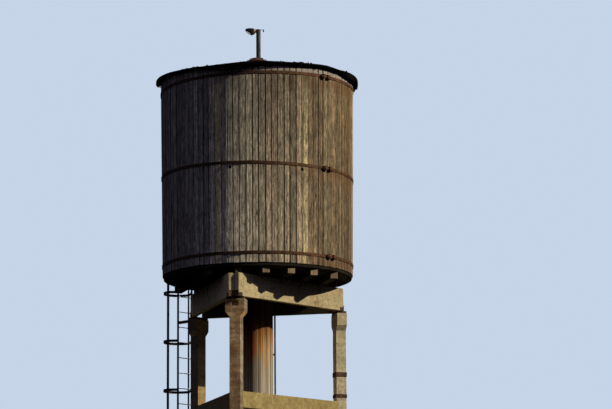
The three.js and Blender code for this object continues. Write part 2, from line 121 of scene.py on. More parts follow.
class Wiring:
    """Adds nodes to one node tree and joins them up."""

    speck_core = 0.5
    spot_core = 0.6

    def __init__(self, tree: Tree) -> None:
        """Keeps the tree that the nodes go into."""
        self.tree = tree

    def feed(self, target: Socket, value: Feed) -> None:
        """Links a socket to an input, or sets the input's own value."""
        if isinstance(value, Socket):
            self.tree.links.new(value, target)
        elif target.type == "RGBA" and len(value) == 3:
            target.default_value = (*value, 1.0)
        else:
            target.default_value = value

    def fill(self, target: Node, feeds: dict[str | int, Feed]) -> None:
        """Feeds a node's inputs, each by its name or number."""
        for key, value in feeds.items():
            self.feed(target.inputs[key], value)

    def node(self, kind: str, feeds: dict[str | int, Feed] | None = None, **settings) -> Node:
        """Adds a node, sets its properties and feeds its inputs.

        Args:
            kind: Blender's name for the node.
            feeds: What each input gets, by the input's name or number.
            **settings: Properties of the node.

        Returns:
            The new node.
        """
        made = self.tree.nodes.new(kind)
        for name, value in settings.items():
            setattr(made, name, value)
        self.fill(made, feeds or {})
        return made

    def math(self, operation: str, a: Feed, b: Feed = 0.0) -> Socket:
        """Returns a sum, product or other operation on two values."""
        return self.node("ShaderNodeMath", {0: a, 1: b}, operation=operation).outputs[0]

    def times(self, *values: Feed) -> Socket:
        """Returns the product of several values."""
        product = values[0]
        for value in values[1:]:
            product = self.math("MULTIPLY", product, value)
        return product

    def spread(
        self, value: Feed, low: float, high: float, first: float = 0.0, last: float = 1.0
    ) -> Socket:
        """Spreads a range of a value over another range, held at its ends.

        Args:
            value: The value to spread.
            low: Where the range starts.
            high: Where it ends.
            first: The result at its start.
            last: The result at its end.

        Returns:
            The value, spread.
        """
        feeds = {0: value, 1: low, 2: high, 3: first, 4: last}
        return self.node("ShaderNodeMapRange", feeds, clamp=True).outputs[0]

    def stretched(self, vector: Feed, scale: Triple) -> Socket:
        """Returns a vector scaled along each axis."""
        return self.node("ShaderNodeMapping", {"Vector": vector, "Scale": scale}).outputs[0]

    def part(self, vector: Feed, axis: Axis) -> Socket:
        """Returns one coordinate of a vector."""
        return self.node("ShaderNodeSeparateXYZ", {0: vector}).outputs[axis.value]

    def toward(self, vector: Feed, azimuth: float, length: float = 1.0) -> Socket:
        """Returns how far a vector reaches towards an azimuth, in units of a length."""
        turn = math.radians(azimuth)
        unit = (math.cos(turn) / length, math.sin(turn) / length, 0.0)
        feeds = {0: vector, 1: unit}
        return self.node("ShaderNodeVectorMath", feeds, operation="DOT_PRODUCT").outputs["Value"]

    def clouds(self, vector: Feed, look: Clouds) -> Socket:
        """Returns a cloudy value between 0 and 1."""
        scale = look.scale
        if isinstance(scale, tuple):
            vector, scale = self.stretched(vector, scale), 1.0
        feeds = {"Scale": scale, "Detail": look.detail, "Roughness": look.roughness}
        return self.node("ShaderNodeTexNoise", {"Vector": vector, **feeds}).outputs["Fac"]

    def chance(self, seed: Feed, shift: float = 0.0) -> Socket:
        """Returns a random value between 0 and 1 for each seed, another one for each shift."""
        feeds = {"W": self.math("ADD", seed, shift) if shift else seed}
        made = self.node("ShaderNodeTexWhiteNoise", feeds, noise_dimensions="1D")
        return made.outputs["Value"]

    def specks(self, vector: Feed, scale: float, size: float, share: float) -> Socket:
        """Returns round specks scattered over a share of the cells of a grid.

        Args:
            vector: Where the surface is.
            scale: Cells in a metre.
            size: Radius of a speck, in cells.
            share: How many of the cells hold one.

        Returns:
            A mask that is 1 in a speck.
        """
        cells = self.node("ShaderNodeTexVoronoi", {"Vector": vector, "Scale": scale})
        inside = self.spread(cells.outputs["Distance"], size * self.speck_core, size, 1.0, 0.0)
        pick = self.part(cells.outputs["Color"], Axis.X)
        return self.times(inside, self.math("LESS_THAN", pick, share))

    def mixed(self, factor: Feed, a: Feed, b: Feed, how: str = "MIX") -> Socket:
        """Mixes two colours.

        Args:
            factor: How much of the second colour shows.
            a: The first colour.
            b: The second colour.
            how: Blender's name for the way they mix.

        Returns:
            The mixed colour.
        """
        feeds = {0: factor, 6: a, 7: b}
        return self.node("ShaderNodeMix", feeds, data_type="RGBA", blend_type=how).outputs[2]

    def tinted(self, colour: Feed, tint: Feed) -> Socket:
        """Multiplies a colour by another."""
        return self.mixed(1.0, colour, tint, "MULTIPLY")

    def ramp(self, value: Feed, stops: Stops) -> Socket:
        """Returns a colour that changes evenly from stop to stop.

        Args:
            value: Where along the stops, from 0 to 1.
            stops: Place and colour of each stop, in order.

        Returns:
            The colour.
        """
        made = self.node("ShaderNodeValToRGB", {0: value})
        elements = made.color_ramp.elements
        while len(elements) < len(stops):
            elements.new(0.5)
        for element, (place, colour) in zip(elements, stops):
            element.position = place
            element.color = (*colour, 1.0)
        return made.outputs[0]

    def shaded(self, colour: Feed, amount: Feed) -> Socket:
        """Multiplies a colour by a grey value."""
        grey = self.node("ShaderNodeCombineColor", {0: amount, 1: amount, 2: amount}).outputs[0]
        return self.tinted(colour, grey)

    def toned(self, colour: Feed, value: Feed, span: Span) -> Socket:
        """Multiplies a colour by a value, the value spread as the four numbers of the span say."""
        return self.shaded(colour, self.spread(value, *span))

    def object_place(self) -> Socket:
        """Returns where the surface is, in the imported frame."""
        return self.node("ShaderNodeTexCoord").outputs["Object"]

    def board_place(self) -> Socket:
        """Returns board number plus the place across it, and metres along it."""
        return self.node("ShaderNodeUVMap", uv_map=BOARD_UV).outputs[0]

    def normal(self) -> Socket:
        """Returns the direction that the surface itself looks in."""
        return self.node("ShaderNodeNewGeometry").outputs["True Normal"]

    def height(self) -> Socket:
        """Returns the height above ground."""
        return self.part(self.object_place(), Axis.Z)

    def near(self, point: Triple, radius: float) -> Socket:
        """Returns 1 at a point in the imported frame, falling to 0 at a radius from it."""
        feeds = {0: self.object_place(), 1: point}
        away = self.node("ShaderNodeVectorMath", feeds, operation="DISTANCE").outputs["Value"]
        return self.spread(away, radius * self.spot_core, radius, 1.0, 0.0)

    def effect(self, effect: "Effect", feeds: dict[str | int, Feed]) -> bpy.types.NodeOutputs:
        """Places a shared effect, feeds its inputs and returns its outputs."""
        return self.node("ShaderNodeGroup", feeds, node_tree=effect.tree()).outputs

    def grain(self, width: float) -> bpy.types.NodeOutputs:
        """Returns the outputs of the weathered grain, for boards of this width."""
        return self.effect(Grain(), {"Board": self.board_place(), "Width": width})


class Effect:
    """A shader node group that several finishes share, built once."""

    built: dict[str, Tree] = {}
    title: str
    inputs: dict[str, str]
    outputs: tuple[str, ...]

    def wire(self, w: Wiring, start: Node) -> dict[str, Socket]:
        """Wires the group.

        Args:
            w: The group's wiring.
            start: The group's inputs.

        Returns:
            What each output gets.
        """
        raise NotImplementedError

    def tree(self) -> Tree:
        """Returns the group, built the first time it is asked for."""
        if self.title not in self.built:
            tree = bpy.data.node_groups.new(self.title, "ShaderNodeTree")
            outputs = dict.fromkeys(self.outputs, "Float")
            for way, sockets in (("INPUT", self.inputs), ("OUTPUT", outputs)):
                for label, kind in sockets.items():
                    kind = f"NodeSocket{kind}"
                    tree.interface.new_socket(name=label, in_out=way, socket_type=kind)
            wiring = Wiring(tree)
            wiring.node("NodeGroupOutput", self.wire(wiring, wiring.node("NodeGroupInput")))
            self.built[self.title] = tree
        return self.built[self.title]


class Grain(Effect):
    """Sawn, weathered grain that runs along boards and differs from board to board.

    Knots are given as cells in a metre, radius in cells and share of the cells.
    """

    title = "Weathered grain"
    inputs = {"Board": "Vector", "Width": "Float"}
    outputs = ("Tone", "Hue", "Streak", "Dash", "Fleck", "Furrow", "Edge", "Knot")
    board_step = 3.71
    length_step = 61.0
    tone_seed = 11.3
    hue_seed = 47.9
    seam_seed = 90.7
    fine = Clouds((150.0, 0.9, 1.0), 3.0, 0.7)
    broad = Clouds((42.0, 0.22, 1.0), 3.0, 0.6)
    dashes = Clouds((50.0, 2.6, 1.0), 3.0, 0.7)
    flecks = Clouds((46.0, 7.0, 1.0), 3.0, 0.8)
    fine_share = 0.5
    seam_depths: Span = (0.25, 0.6, 0.15, 1.0)
    seam_width: Span = (0.02, 0.10, 1.0, 0.0)
    knot_stretch: Triple = (1.0, 0.38, 1.0)
    knots: Triple = (5.5, 0.16, 0.14)

    def wire(self, w: Wiring, start: Node) -> dict[str, Socket]:
        """Wires fine and broad grain, dashes, flecks, knots and the boards' edges."""
        board = w.node("ShaderNodeSeparateXYZ", {0: start.outputs["Board"]})
        number = w.math("FLOOR", board.outputs[0])
        across = w.math("FRACT", board.outputs[0])
        wide = w.math("MULTIPLY_ADD", across, start.outputs["Width"])
        w.feed(wide.node.inputs[2], w.times(number, self.board_step))
        start_along = w.times(w.chance(number), self.length_step)
        along = w.math("ADD", board.outputs[1], start_along)
        place = w.node("ShaderNodeCombineXYZ", {0: wide, 1: along}).outputs[0]
        fine = w.clouds(place, self.fine)
        streak = w.times(fine, self.fine_share)
        broad = w.times(w.clouds(place, self.broad), 1.0 - self.fine_share)
        edge = w.math("MINIMUM", across, w.math("SUBTRACT", 1.0, across))
        seam = w.spread(w.chance(number, self.seam_seed), *self.seam_depths)
        return {
            "Tone": w.chance(number, self.tone_seed),
            "Hue": w.chance(number, self.hue_seed),
            "Streak": w.math("ADD", streak, broad),
            "Dash": w.clouds(place, self.dashes),
            "Fleck": w.clouds(place, self.flecks),
            "Furrow": fine,
            "Edge": w.times(w.spread(edge, *self.seam_width), seam),
            "Knot": w.specks(w.stretched(place, self.knot_stretch), *self.knots),
        }


class Runs(Effect):
    """Stains that run down from a height and fade out below it."""

    title = "Runs below"
    inputs = {"Place": "Vector", "Top": "Float", "Reach": "Float"}
    outputs = ("Mask",)
    tears = Clouds((17.0, 17.0, 1.3), 4.0, 0.65)
    fade_share = 0.75
    torn: Pair = (0.72, 1.12)

    def wire(self, w: Wiring, start: Node) -> dict[str, Socket]:
        """Wires a fading band under the top, torn by upright noise."""
        place = start.outputs["Place"]
        below = w.math("SUBTRACT", start.outputs["Top"], w.part(place, Axis.Z))
        fade = w.math("SUBTRACT", 1.0, w.math("DIVIDE", below, start.outputs["Reach"]))
        under = w.times(w.math("GREATER_THAN", below, 0.0), w.math("MAXIMUM", fade, 0.0))
        ragged = w.math("ADD", w.times(under, self.fade_share), w.clouds(place, self.tears))
        mask = w.spread(ragged, *self.torn)
        return {"Mask": w.times(mask, w.math("GREATER_THAN", under, 0.0))}


class Rust(Effect):
    """Patches of rust, how orange each is, and the scale that they raise."""

    title = "Rust"
    inputs = {"Place": "Vector", "Amount": "Float"}
    outputs = ("Mask", "Hue", "Scale")
    patches = Clouds(4.5, 5.0, 0.65)
    hues = Clouds(21.0, 4.0, 0.7)
    scales = Clouds(160.0, 3.0, 0.7)
    bareness = 0.75
    crispness = 6.0

    def wire(self, w: Wiring, start: Node) -> dict[str, Socket]:
        """Wires the patches, their hue and their scale."""
        place = start.outputs["Place"]
        clean = w.times(w.math("SUBTRACT", 1.0, start.outputs["Amount"]), self.bareness)
        rusted = w.math("SUBTRACT", w.clouds(place, self.patches), clean)
        return {
            "Mask": w.spread(w.times(rusted, self.crispness), 0.0, 1.0),
            "Hue": w.clouds(place, self.hues),
            "Scale": w.clouds(place, self.scales),
        }


# Finishes


@dataclass(frozen=True)
class Finish:
    """A material of the tower, with the record slot that it answers to."""

    slot: Slot
    title: str = "finish"
    relief: float = 0.002
    roughness: float = 0.9
    specular: float = 0.2
    chalk: float = 0.0

    def material(self) -> bpy.types.Material:
        """Returns the material, built the first time it is asked for."""
        made = bpy.data.materials.get(self.title)
        if not made:
            made = bpy.data.materials.new(self.title)
            made.use_nodes = True
            self.wire(Wiring(made.node_tree), made.node_tree.nodes["Principled BSDF"])
        return made

    def wire(self, w: Wiring, shader: Node) -> None:
        """Wires the finish's nodes into its shader.

        Args:
            w: The material's wiring.
            shader: Its shader.
        """
        raise NotImplementedError

    def coat(
        self, w: Wiring, shader: Node, colour: Feed, height: Feed, rough: Feed | None = None
    ) -> None:
        """Feeds the shader its colour and relief, and sets its constants.

        Args:
            w: The material's wiring.
            shader: Its shader.
            colour: Its colour.
            height: How far it stands up, from 0 to 1 times the relief.
            rough: Its roughness, where that changes from place to place.
        """
        bumps = {"Height": height, "Distance": self.relief, "Strength": 1.0}
        w.fill(shader, {
            "Base Color": colour,
            "Normal": w.node("ShaderNodeBump", bumps).outputs[0],
            "Roughness": self.roughness if rough is None else rough,
            "Specular IOR Level": self.specular,
            "Diffuse Roughness": self.chalk,
        })


@dataclass(frozen=True)
class TankBoards(Finish):
    """Upright softwood boards, grey on the weather side and brown on the sunny side, with painted
    light and shade.

    Each knot hole is given as its azimuth and height.
    """

    relief: float = 0.008
    roughness: float = 0.88
    chalk: float = 1.0
    # Colours by how far a board faces the sun: weathering, and painted light, paler where sunlight
    # turns grazing and darker where it falls square on.
    weathering_and_painted_light: Stops = (
        (0.25, (0.25, 0.245, 0.26)),
        (0.45, (0.37, 0.37, 0.38)),
        (0.58, (0.60, 0.58, 0.525)),
        (0.70, (0.35, 0.325, 0.29)),
        (0.90, (0.365, 0.32, 0.26)),
        (0.985, (0.41, 0.34, 0.26)),
        (1.0, (0.22, 0.17, 0.11)),
    )
    casts: Stops = (
        (0.0, (0.95, 1.0, 0.90)),
        (0.25, (0.98, 1.0, 0.96)),
        (0.55, (1.0, 0.99, 1.0)),
        (0.75, (1.0, 0.96, 0.97)),
        (1.0, (1.0, 0.93, 0.84)),
    )
    rust: Colour = (0.26, 0.12, 0.065)
    seam: Colour = (0.022, 0.016, 0.012)
    bare: Colour = (0.72, 0.68, 0.72)
    # Near-black painted shade inside the knot holes.
    hole_shade: Colour = (0.006, 0.004, 0.003)
    board_width: float = 0.1205
    radius: float = 1.84
    sunny_azimuth: float = 350.0
    bleaching: Span = (12.3, 9.6, -0.12, 0.42)
    bleached_side: Span = (0.80, 0.99, 1.0, -1.0)
    bleached_from: Pair = (-0.5, 0.1)
    grain_tones: tuple[tuple[str, Span], ...] = (
        ("Tone", (0.0, 1.0, 0.72, 1.36)),
        ("Streak", (0.40, 0.60, 0.52, 1.52)),
        ("Dash", (0.36, 0.64, 0.56, 1.52)),
        ("Fleck", (0.34, 0.66, 0.58, 1.52)),
    )
    blotch: Clouds = Clouds((5.0, 5.0, 3.0), 5.0, 0.75)
    blotches: Span = (0.36, 0.64, 0.76, 1.24)
    smut: Clouds = Clouds((24.0, 24.0, 6.0), 4.0, 0.8)
    # Darkening of faces that look down: painted shade.
    darkening: Span = (0.55, 0.69, 1.0, 0.28)
    painted_underside_shade: Span = (-0.9, -0.4, 0.1, 1.0)
    run_tops: Triple = (9.16, 10.84, 12.55)
    run_reach: float = 0.45
    run_depth: float = 0.4
    run_side: Pair = (0.55, 0.95)
    bare_head: Pair = (12.60, 12.66)
    bare_side: Pair = (0.2, 0.4)
    bare_flecks: Span = (0.36, 0.54, 0.25, 1.0)
    knot_depth: float = 0.85
    seam_depth: float = 0.95
    knot_holes: tuple[Pair, ...] = ((268.2, 10.80), (311.3, 10.775))
    knot_radius: float = 0.042

    def wire(self, w: Wiring, shader: Node) -> None:
        """Wires board tones, grain, knots, seams, blotches, the runs below the hoops and the painted
        light and shade.
        """
        place = w.object_place()
        grain = w.grain(self.board_width)
        facing = w.toward(place, self.sunny_azimuth, self.radius)
        # Painted light: the colour follows how the board faces the sun.
        colour = w.ramp(w.spread(facing, -1.0, 1.0), self.weathering_and_painted_light)
        colour = w.tinted(colour, w.ramp(grain["Hue"], self.casts))
        bleach = w.times(
            w.spread(w.height(), *self.bleaching),
            w.spread(facing, *self.bleached_side),
            w.spread(facing, *self.bleached_from),
        )
        colour = w.shaded(colour, w.math("ADD", 1.0, bleach))
        for name, span in self.grain_tones:
            colour = w.toned(colour, grain[name], span)
        colour = w.toned(colour, w.clouds(place, self.blotch), self.blotches)
        colour = w.toned(colour, w.clouds(place, self.smut), self.darkening)
        sunny = w.spread(facing, *self.run_side)
        for top in self.run_tops:
            runs = w.effect(Runs(), {"Place": place, "Top": top, "Reach": self.run_reach})
            colour = w.mixed(w.times(runs["Mask"], sunny, self.run_depth), colour, self.rust)
        bare = w.times(w.spread(w.height(), *self.bare_head), w.spread(facing, *self.bare_side))
        bare = w.times(bare, w.spread(grain["Fleck"], *self.bare_flecks))
        colour = w.mixed(bare, colour, self.bare)
        colour = w.mixed(w.times(grain["Knot"], self.knot_depth), colour, self.seam)
        colour = w.mixed(w.times(grain["Edge"], self.seam_depth), colour, self.seam)
        # Each knot hole is a near-black spot: painted shade inside the hole.
        for azimuth, height in self.knot_holes:
            hole = Bench.around(azimuth, self.radius, height).translation
            colour = w.mixed(w.near(tuple(hole), self.knot_radius), colour, self.hole_shade)
        # Painted shade: faces that look down, such as the boards' lower ends, are darkened.
        colour = w.toned(colour, w.part(w.normal(), Axis.Z), self.painted_underside_shade)
        self.coat(w, shader, colour, grain["Streak"])


@dataclass(frozen=True)
class SawnTimber(Finish):
    """Sawn structural timber, bare at its sawn ends, its long faces darkened as painted shade."""

    pale: Colour = (0.20, 0.16, 0.115)
    dark: Colour = (0.09, 0.07, 0.05)
    # How dark the long faces are made, as painted shade; 1 leaves them as they are.
    painted_side_shade: float = 1.0
    lie: float = 120.0
    board_width: float = 0.15
    grain_from: Pair = (0.35, 0.65)
    board_tones: Span = (0.0, 1.0, 0.8, 1.2)
    dirt: Clouds = Clouds(6.0, 4.0, 0.7)
    soil: Span = (0.35, 0.6, 0.6, 1.1)
    sawn_end: Pair = (0.6, 0.9)

    def wire(self, w: Wiring, shader: Node) -> None:
        """Wires grain, tones, soil and the painted shade on the long faces."""
        grain = w.grain(self.board_width)
        colour = w.mixed(w.spread(grain["Streak"], *self.grain_from), self.dark, self.pale)
        colour = w.toned(colour, grain["Tone"], self.board_tones)
        colour = w.toned(colour, w.clouds(w.object_place(), self.dirt), self.soil)
        # Painted shade: every face but the sawn ends is darkened.
        end = w.math("ABSOLUTE", w.toward(w.normal(), self.lie))
        colour = w.toned(colour, end, (*self.sawn_end, self.painted_side_shade, 1.0))
        self.coat(w, shader, colour, grain["Furrow"])


@dataclass(frozen=True)
class RiserBoards(Finish):
    """Narrow bleached boards, stained orange below the tank, with painted shade at the top and on
    the side turned from the sun.
    """

    roughness: float = 0.85
    specular: float = 0.25
    chalk: float = 0.6
    bleached: Colour = (0.63, 0.59, 0.58)
    tan: Colour = (0.63, 0.57, 0.44)
    stained: Colour = (0.68, 0.14, 0.018)
    streaked: Colour = (0.98, 0.50, 0.09)
    dark: Colour = (0.14, 0.10, 0.07)
    seam: Colour = (0.03, 0.02, 0.015)
    board_width: float = 0.041
    board_tones: Span = (0.0, 1.0, 0.66, 1.25)
    dark_grain: Pair = (0.47, 0.37)
    tears: Clouds = Clouds((15.0, 15.0, 1.5), 4.0, 0.65)
    ragged: Span = (0.3, 0.7, -0.5, 0.5)
    streaked_from: Pair = (0.42, 0.56)
    stain: Pair = (7.3, 7.72)
    stain_streaks: Span = (0.35, 0.6, 1.0, 0.7)
    tan_from: Pair = (6.6, 7.5)
    # Darker towards the top: painted shade where the beam's shadow falls on the riser.
    darkening: Span = (7.6, 8.12, 1.0, 0.25)
    radius: float = 0.29
    sunny_azimuth: float = 351.7
    # Where the side turned from the sun starts, and its tint: painted shade.
    painted_lee_shade: Pair = (-0.02, 0.06)
    painted_shade_tint: Colour = (0.32, 0.34, 0.37)

    def wire(self, w: Wiring, shader: Node) -> None:
        """Wires bleached grain, the orange stain near the top and the painted shade at the top and
        on the side turned from the sun.
        """
        place = w.object_place()
        grain = w.grain(self.board_width)
        ragged = w.spread(w.clouds(place, self.tears), *self.ragged)
        height = w.math("ADD", w.height(), ragged)
        colour = w.mixed(w.spread(height, *self.tan_from), self.bleached, self.tan)
        colour = w.toned(colour, grain["Tone"], self.board_tones)
        stained = w.mixed(w.spread(grain["Hue"], *self.streaked_from), self.stained, self.streaked)
        streaks = w.spread(grain["Streak"], *self.stain_streaks)
        colour = w.mixed(w.times(w.spread(height, *self.stain), streaks), colour, stained)
        colour = w.mixed(w.spread(grain["Streak"], *self.dark_grain), colour, self.dark)
        # Painted shade: darker towards the top, under the beam's shadow.
        colour = w.toned(colour, w.height(), self.darkening)
        colour = w.mixed(grain["Edge"], colour, self.seam)
        # Painted shade on the side turned from the sun.
        sunny = w.spread(w.toward(place, self.sunny_azimuth, self.radius), *self.painted_lee_shade)
        colour = w.mixed(sunny, w.tinted(colour, self.painted_shade_tint), colour)
        self.coat(w, shader, colour, grain["Furrow"])


@dataclass(frozen=True)
class PittedConcrete(Finish):
    """Precast concrete with mottled laitance, soft stains and pits, and where set, painted light and
    shade on faces turned one way.

    Pits and crumbs are given as cells in a metre and radius in cells.
    """

    relief: float = 0.005
    roughness: float = 0.92
    chalk: float = 0.8
    body: Colour = (0.50, 0.45, 0.31)
    pale: Colour = (0.62, 0.57, 0.43)
    stain: Colour = (0.30, 0.21, 0.11)
    pit: Colour = (0.06, 0.043, 0.026)
    laitance: Clouds = Clouds(3.1, 5.0, 0.62)
    pale_from: Pair = (0.38, 0.62)
    mottles: Clouds = Clouds(17.0, 5.0, 0.72)
    mottling: Span = (0.32, 0.68, 0.76, 1.2)
    stains: Clouds = Clouds((4.2, 4.2, 3.0), 5.0, 0.7)
    stain_share: float = 0.3
    least_stained: float = 0.70
    most_stained: float = 0.40
    stain_edge: Pair = (-0.1, 0.12)
    bands: Clouds = Clouds((0.8, 0.8, 11.0), 3.0, 0.65)
    band_from: Pair = (0.32, 0.68)
    band_lift: float = 0.6
    casting_bands: float = 0.0
    pits: Pair = (45.0, 0.38)
    pitting: float = 0.3
    pit_depth: float = 0.6
    crumbs: Pair = (15.0, 0.28)
    crumb_stretch: Triple = (1.0, 1.0, 1.4)
    crumb_share: float = 0.2
    grit: Clouds = Clouds(120.0, 3.0, 0.7)
    gritting: Span = (0.3, 0.7, 0.86, 1.12)
    lumps: Clouds = Clouds(55.0, 3.0, 0.6)
    fine_relief: float = 0.4
    # Darkening of the faces towards the tower's axis, painted shade; 1 leaves them as they are.
    painted_inner_shade: float = 1.0
    inner_face: Pair = (0.885, 0.975)
    # A tint on the faces turned towards one azimuth: painted light and shade.
    painted_face_azimuth: float = 0.0
    painted_face_range: Pair = (0.75, 0.95)
    painted_face_tint: Colour = (1.0, 1.0, 1.0)

    @property
    def stained_from(self) -> Pair:
        """Where the stains start and where they are full, in the value of their clouds."""
        gain = self.least_stained - self.most_stained
        reach = self.least_stained - gain * self.stain_share
        start, end = self.stain_edge
        return (reach + start, reach + end)

    def wire(self, w: Wiring, shader: Node) -> None:
        """Wires mottling, stains, casting bands, pits and the painted shade and light by face."""
        place = w.object_place()
        laitance = w.spread(w.clouds(place, self.laitance), *self.pale_from)
        mottle = w.clouds(place, self.mottles)
        colour = w.toned(w.mixed(laitance, self.body, self.pale), mottle, self.mottling)
        stained = w.spread(w.clouds(place, self.stains), *self.stained_from)
        colour = w.mixed(stained, colour, self.stain)
        if self.casting_bands:
            tones = (1.0 - self.casting_bands, 1.0 + self.casting_bands * self.band_lift)
            colour = w.toned(colour, w.clouds(place, self.bands), (*self.band_from, *tones))
        # Painted shade: faces towards the tower's axis are darkened.
        if self.painted_inner_shade < 1.0:
            shade_painted = (*self.inner_face, self.painted_inner_shade, 1.0)
            colour = w.toned(colour, w.part(place, Axis.Y), shade_painted)
        # Painted light and shade: faces towards one azimuth take a tint.
        painted_face = w.spread(w.toward(w.normal(), self.painted_face_azimuth), *self.painted_face_range)
        colour = w.mixed(painted_face, colour, w.tinted(colour, self.painted_face_tint))
        pits = w.specks(place, *self.pits, self.pitting)
        crumbled = w.stretched(place, self.crumb_stretch)
        crumbs = w.specks(crumbled, *self.crumbs, self.pitting * self.crumb_share)
        pits = w.math("MAXIMUM", pits, crumbs)
        colour = w.mixed(w.times(pits, self.pit_depth), colour, self.pit)
        grit = w.clouds(place, self.grit)
        colour = w.toned(colour, grit, self.gritting)
        rough = w.times(w.math("ADD", grit, mottle), self.fine_relief)
        lumps = w.math("ADD", rough, w.clouds(place, self.lumps))
        self.coat(w, shader, colour, w.math("SUBTRACT", lumps, pits))


@dataclass(frozen=True)
class RustingSteel(Finish):
    """Steel with what is left of its paint or scale and rust over the rest, darkened where set on
    the side turned from the sun as painted shade.
    """

    relief: float = 0.001
    roughness: float = 0.75
    specular: float = 0.35
    clean: Colour = (0.05, 0.045, 0.04)
    old_rust: Colour = (0.10, 0.05, 0.03)
    new_rust: Colour = (0.32, 0.12, 0.045)
    amount: float = 0.5
    new_from: Pair = (0.42, 0.62)
    scale_tones: Span = (0.3, 0.7, 0.8, 1.15)
    roughening: Pair = (-0.25, 0.1)
    # How much faces turned from the sun are darkened, as painted shade; 1 leaves them as they are.
    sunny_azimuth: float = 345.0
    sunny_side: Pair = (0.45, 0.9)
    painted_lee_shade: float = 1.0

    def wire(self, w: Wiring, shader: Node) -> None:
        """Wires paint or scale under two colours of rust, and any painted shade."""
        rust = w.effect(Rust(), {"Place": w.object_place(), "Amount": self.amount})
        colour = w.mixed(w.spread(rust["Hue"], *self.new_from), self.old_rust, self.new_rust)
        colour = w.mixed(rust["Mask"], self.clean, colour)
        colour = w.toned(colour, rust["Scale"], self.scale_tones)
        # Painted shade: faces turned from the sun are darkened.
        if self.painted_lee_shade < 1.0:
            sunny = w.toward(w.normal(), self.sunny_azimuth)
            colour = w.toned(colour, sunny, (*self.sunny_side, self.painted_lee_shade, 1.0))
        least, most = (self.roughness + change for change in self.roughening)
        rough = w.spread(rust["Mask"], 0.0, 1.0, least, most)
        self.coat(w, shader, colour, rust["Scale"], rough)


@dataclass(frozen=True)
class RoofingFelt(Finish):
    """Mineral felt, black with faded and dusty patches."""

    relief: float = 0.01
    specular: float = 0.0
    black: Colour = (0.004, 0.004, 0.005)
    faded: Colour = (0.011, 0.011, 0.013)
    patches: Clouds = Clouds(2.2, 5.0, 0.65)
    faded_from: Pair = (0.42, 0.68)
    grit: Clouds = Clouds(420.0, 2.0, 0.8)
    gritting: Span = (0.3, 0.7, 0.7, 1.4)
    grit_relief: float = 0.12
    creases: Clouds = Clouds((7.0, 7.0, 3.0), 4.0, 0.6)
    roughening: Span = (0.3, 0.7, 0.85, 1.0)

    def wire(self, w: Wiring, shader: Node) -> None:
        """Wires faded patches, mineral grit and creases."""
        place = w.object_place()
        patches = w.clouds(place, self.patches)
        grit = w.clouds(place, self.grit)
        colour = w.mixed(w.spread(patches, *self.faded_from), self.black, self.faded)
        colour = w.toned(colour, grit, self.gritting)
        relief = w.math("ADD", w.times(grit, self.grit_relief), w.clouds(place, self.creases))
        self.coat(w, shader, colour, relief, w.spread(patches, *self.roughening))


@dataclass(frozen=True)
class OpalLens(Finish):
    """Pale ribbed diffuser, dusty in patches, that glows faintly as painted daylight."""

    relief: float = 0.001
    roughness: float = 0.3
    specular: float = 0.5
    pale: Colour = (0.72, 0.74, 0.72)
    dusty: Colour = (0.42, 0.40, 0.36)
    dust: Clouds = Clouds(30.0, 4.0, 0.6)
    dusty_from: Pair = (0.4, 0.7)
    ribs: float = 28.0
    # Emission strength of the lens: painted light standing in for daylight in it.
    glow: float = 0.42
    glaze: float = 0.3

    def wire(self, w: Wiring, shader: Node) -> None:
        """Wires dust over ribs, and the faint glow that paints daylight."""
        place = w.object_place()
        dust = w.spread(w.clouds(place, self.dust), *self.dusty_from)
        ribs = w.node("ShaderNodeTexWave", {"Vector": place, "Scale": self.ribs}).outputs["Fac"]
        colour = w.mixed(dust, self.pale, self.dusty)
        self.coat(w, shader, colour, ribs)
        # Painted light: the lens glows faintly in place of the daylight it shows.
        glow = {"Emission Color": colour, "Emission Strength": self.glow, "Coat Weight": self.glaze}
        w.fill(shader, glow)


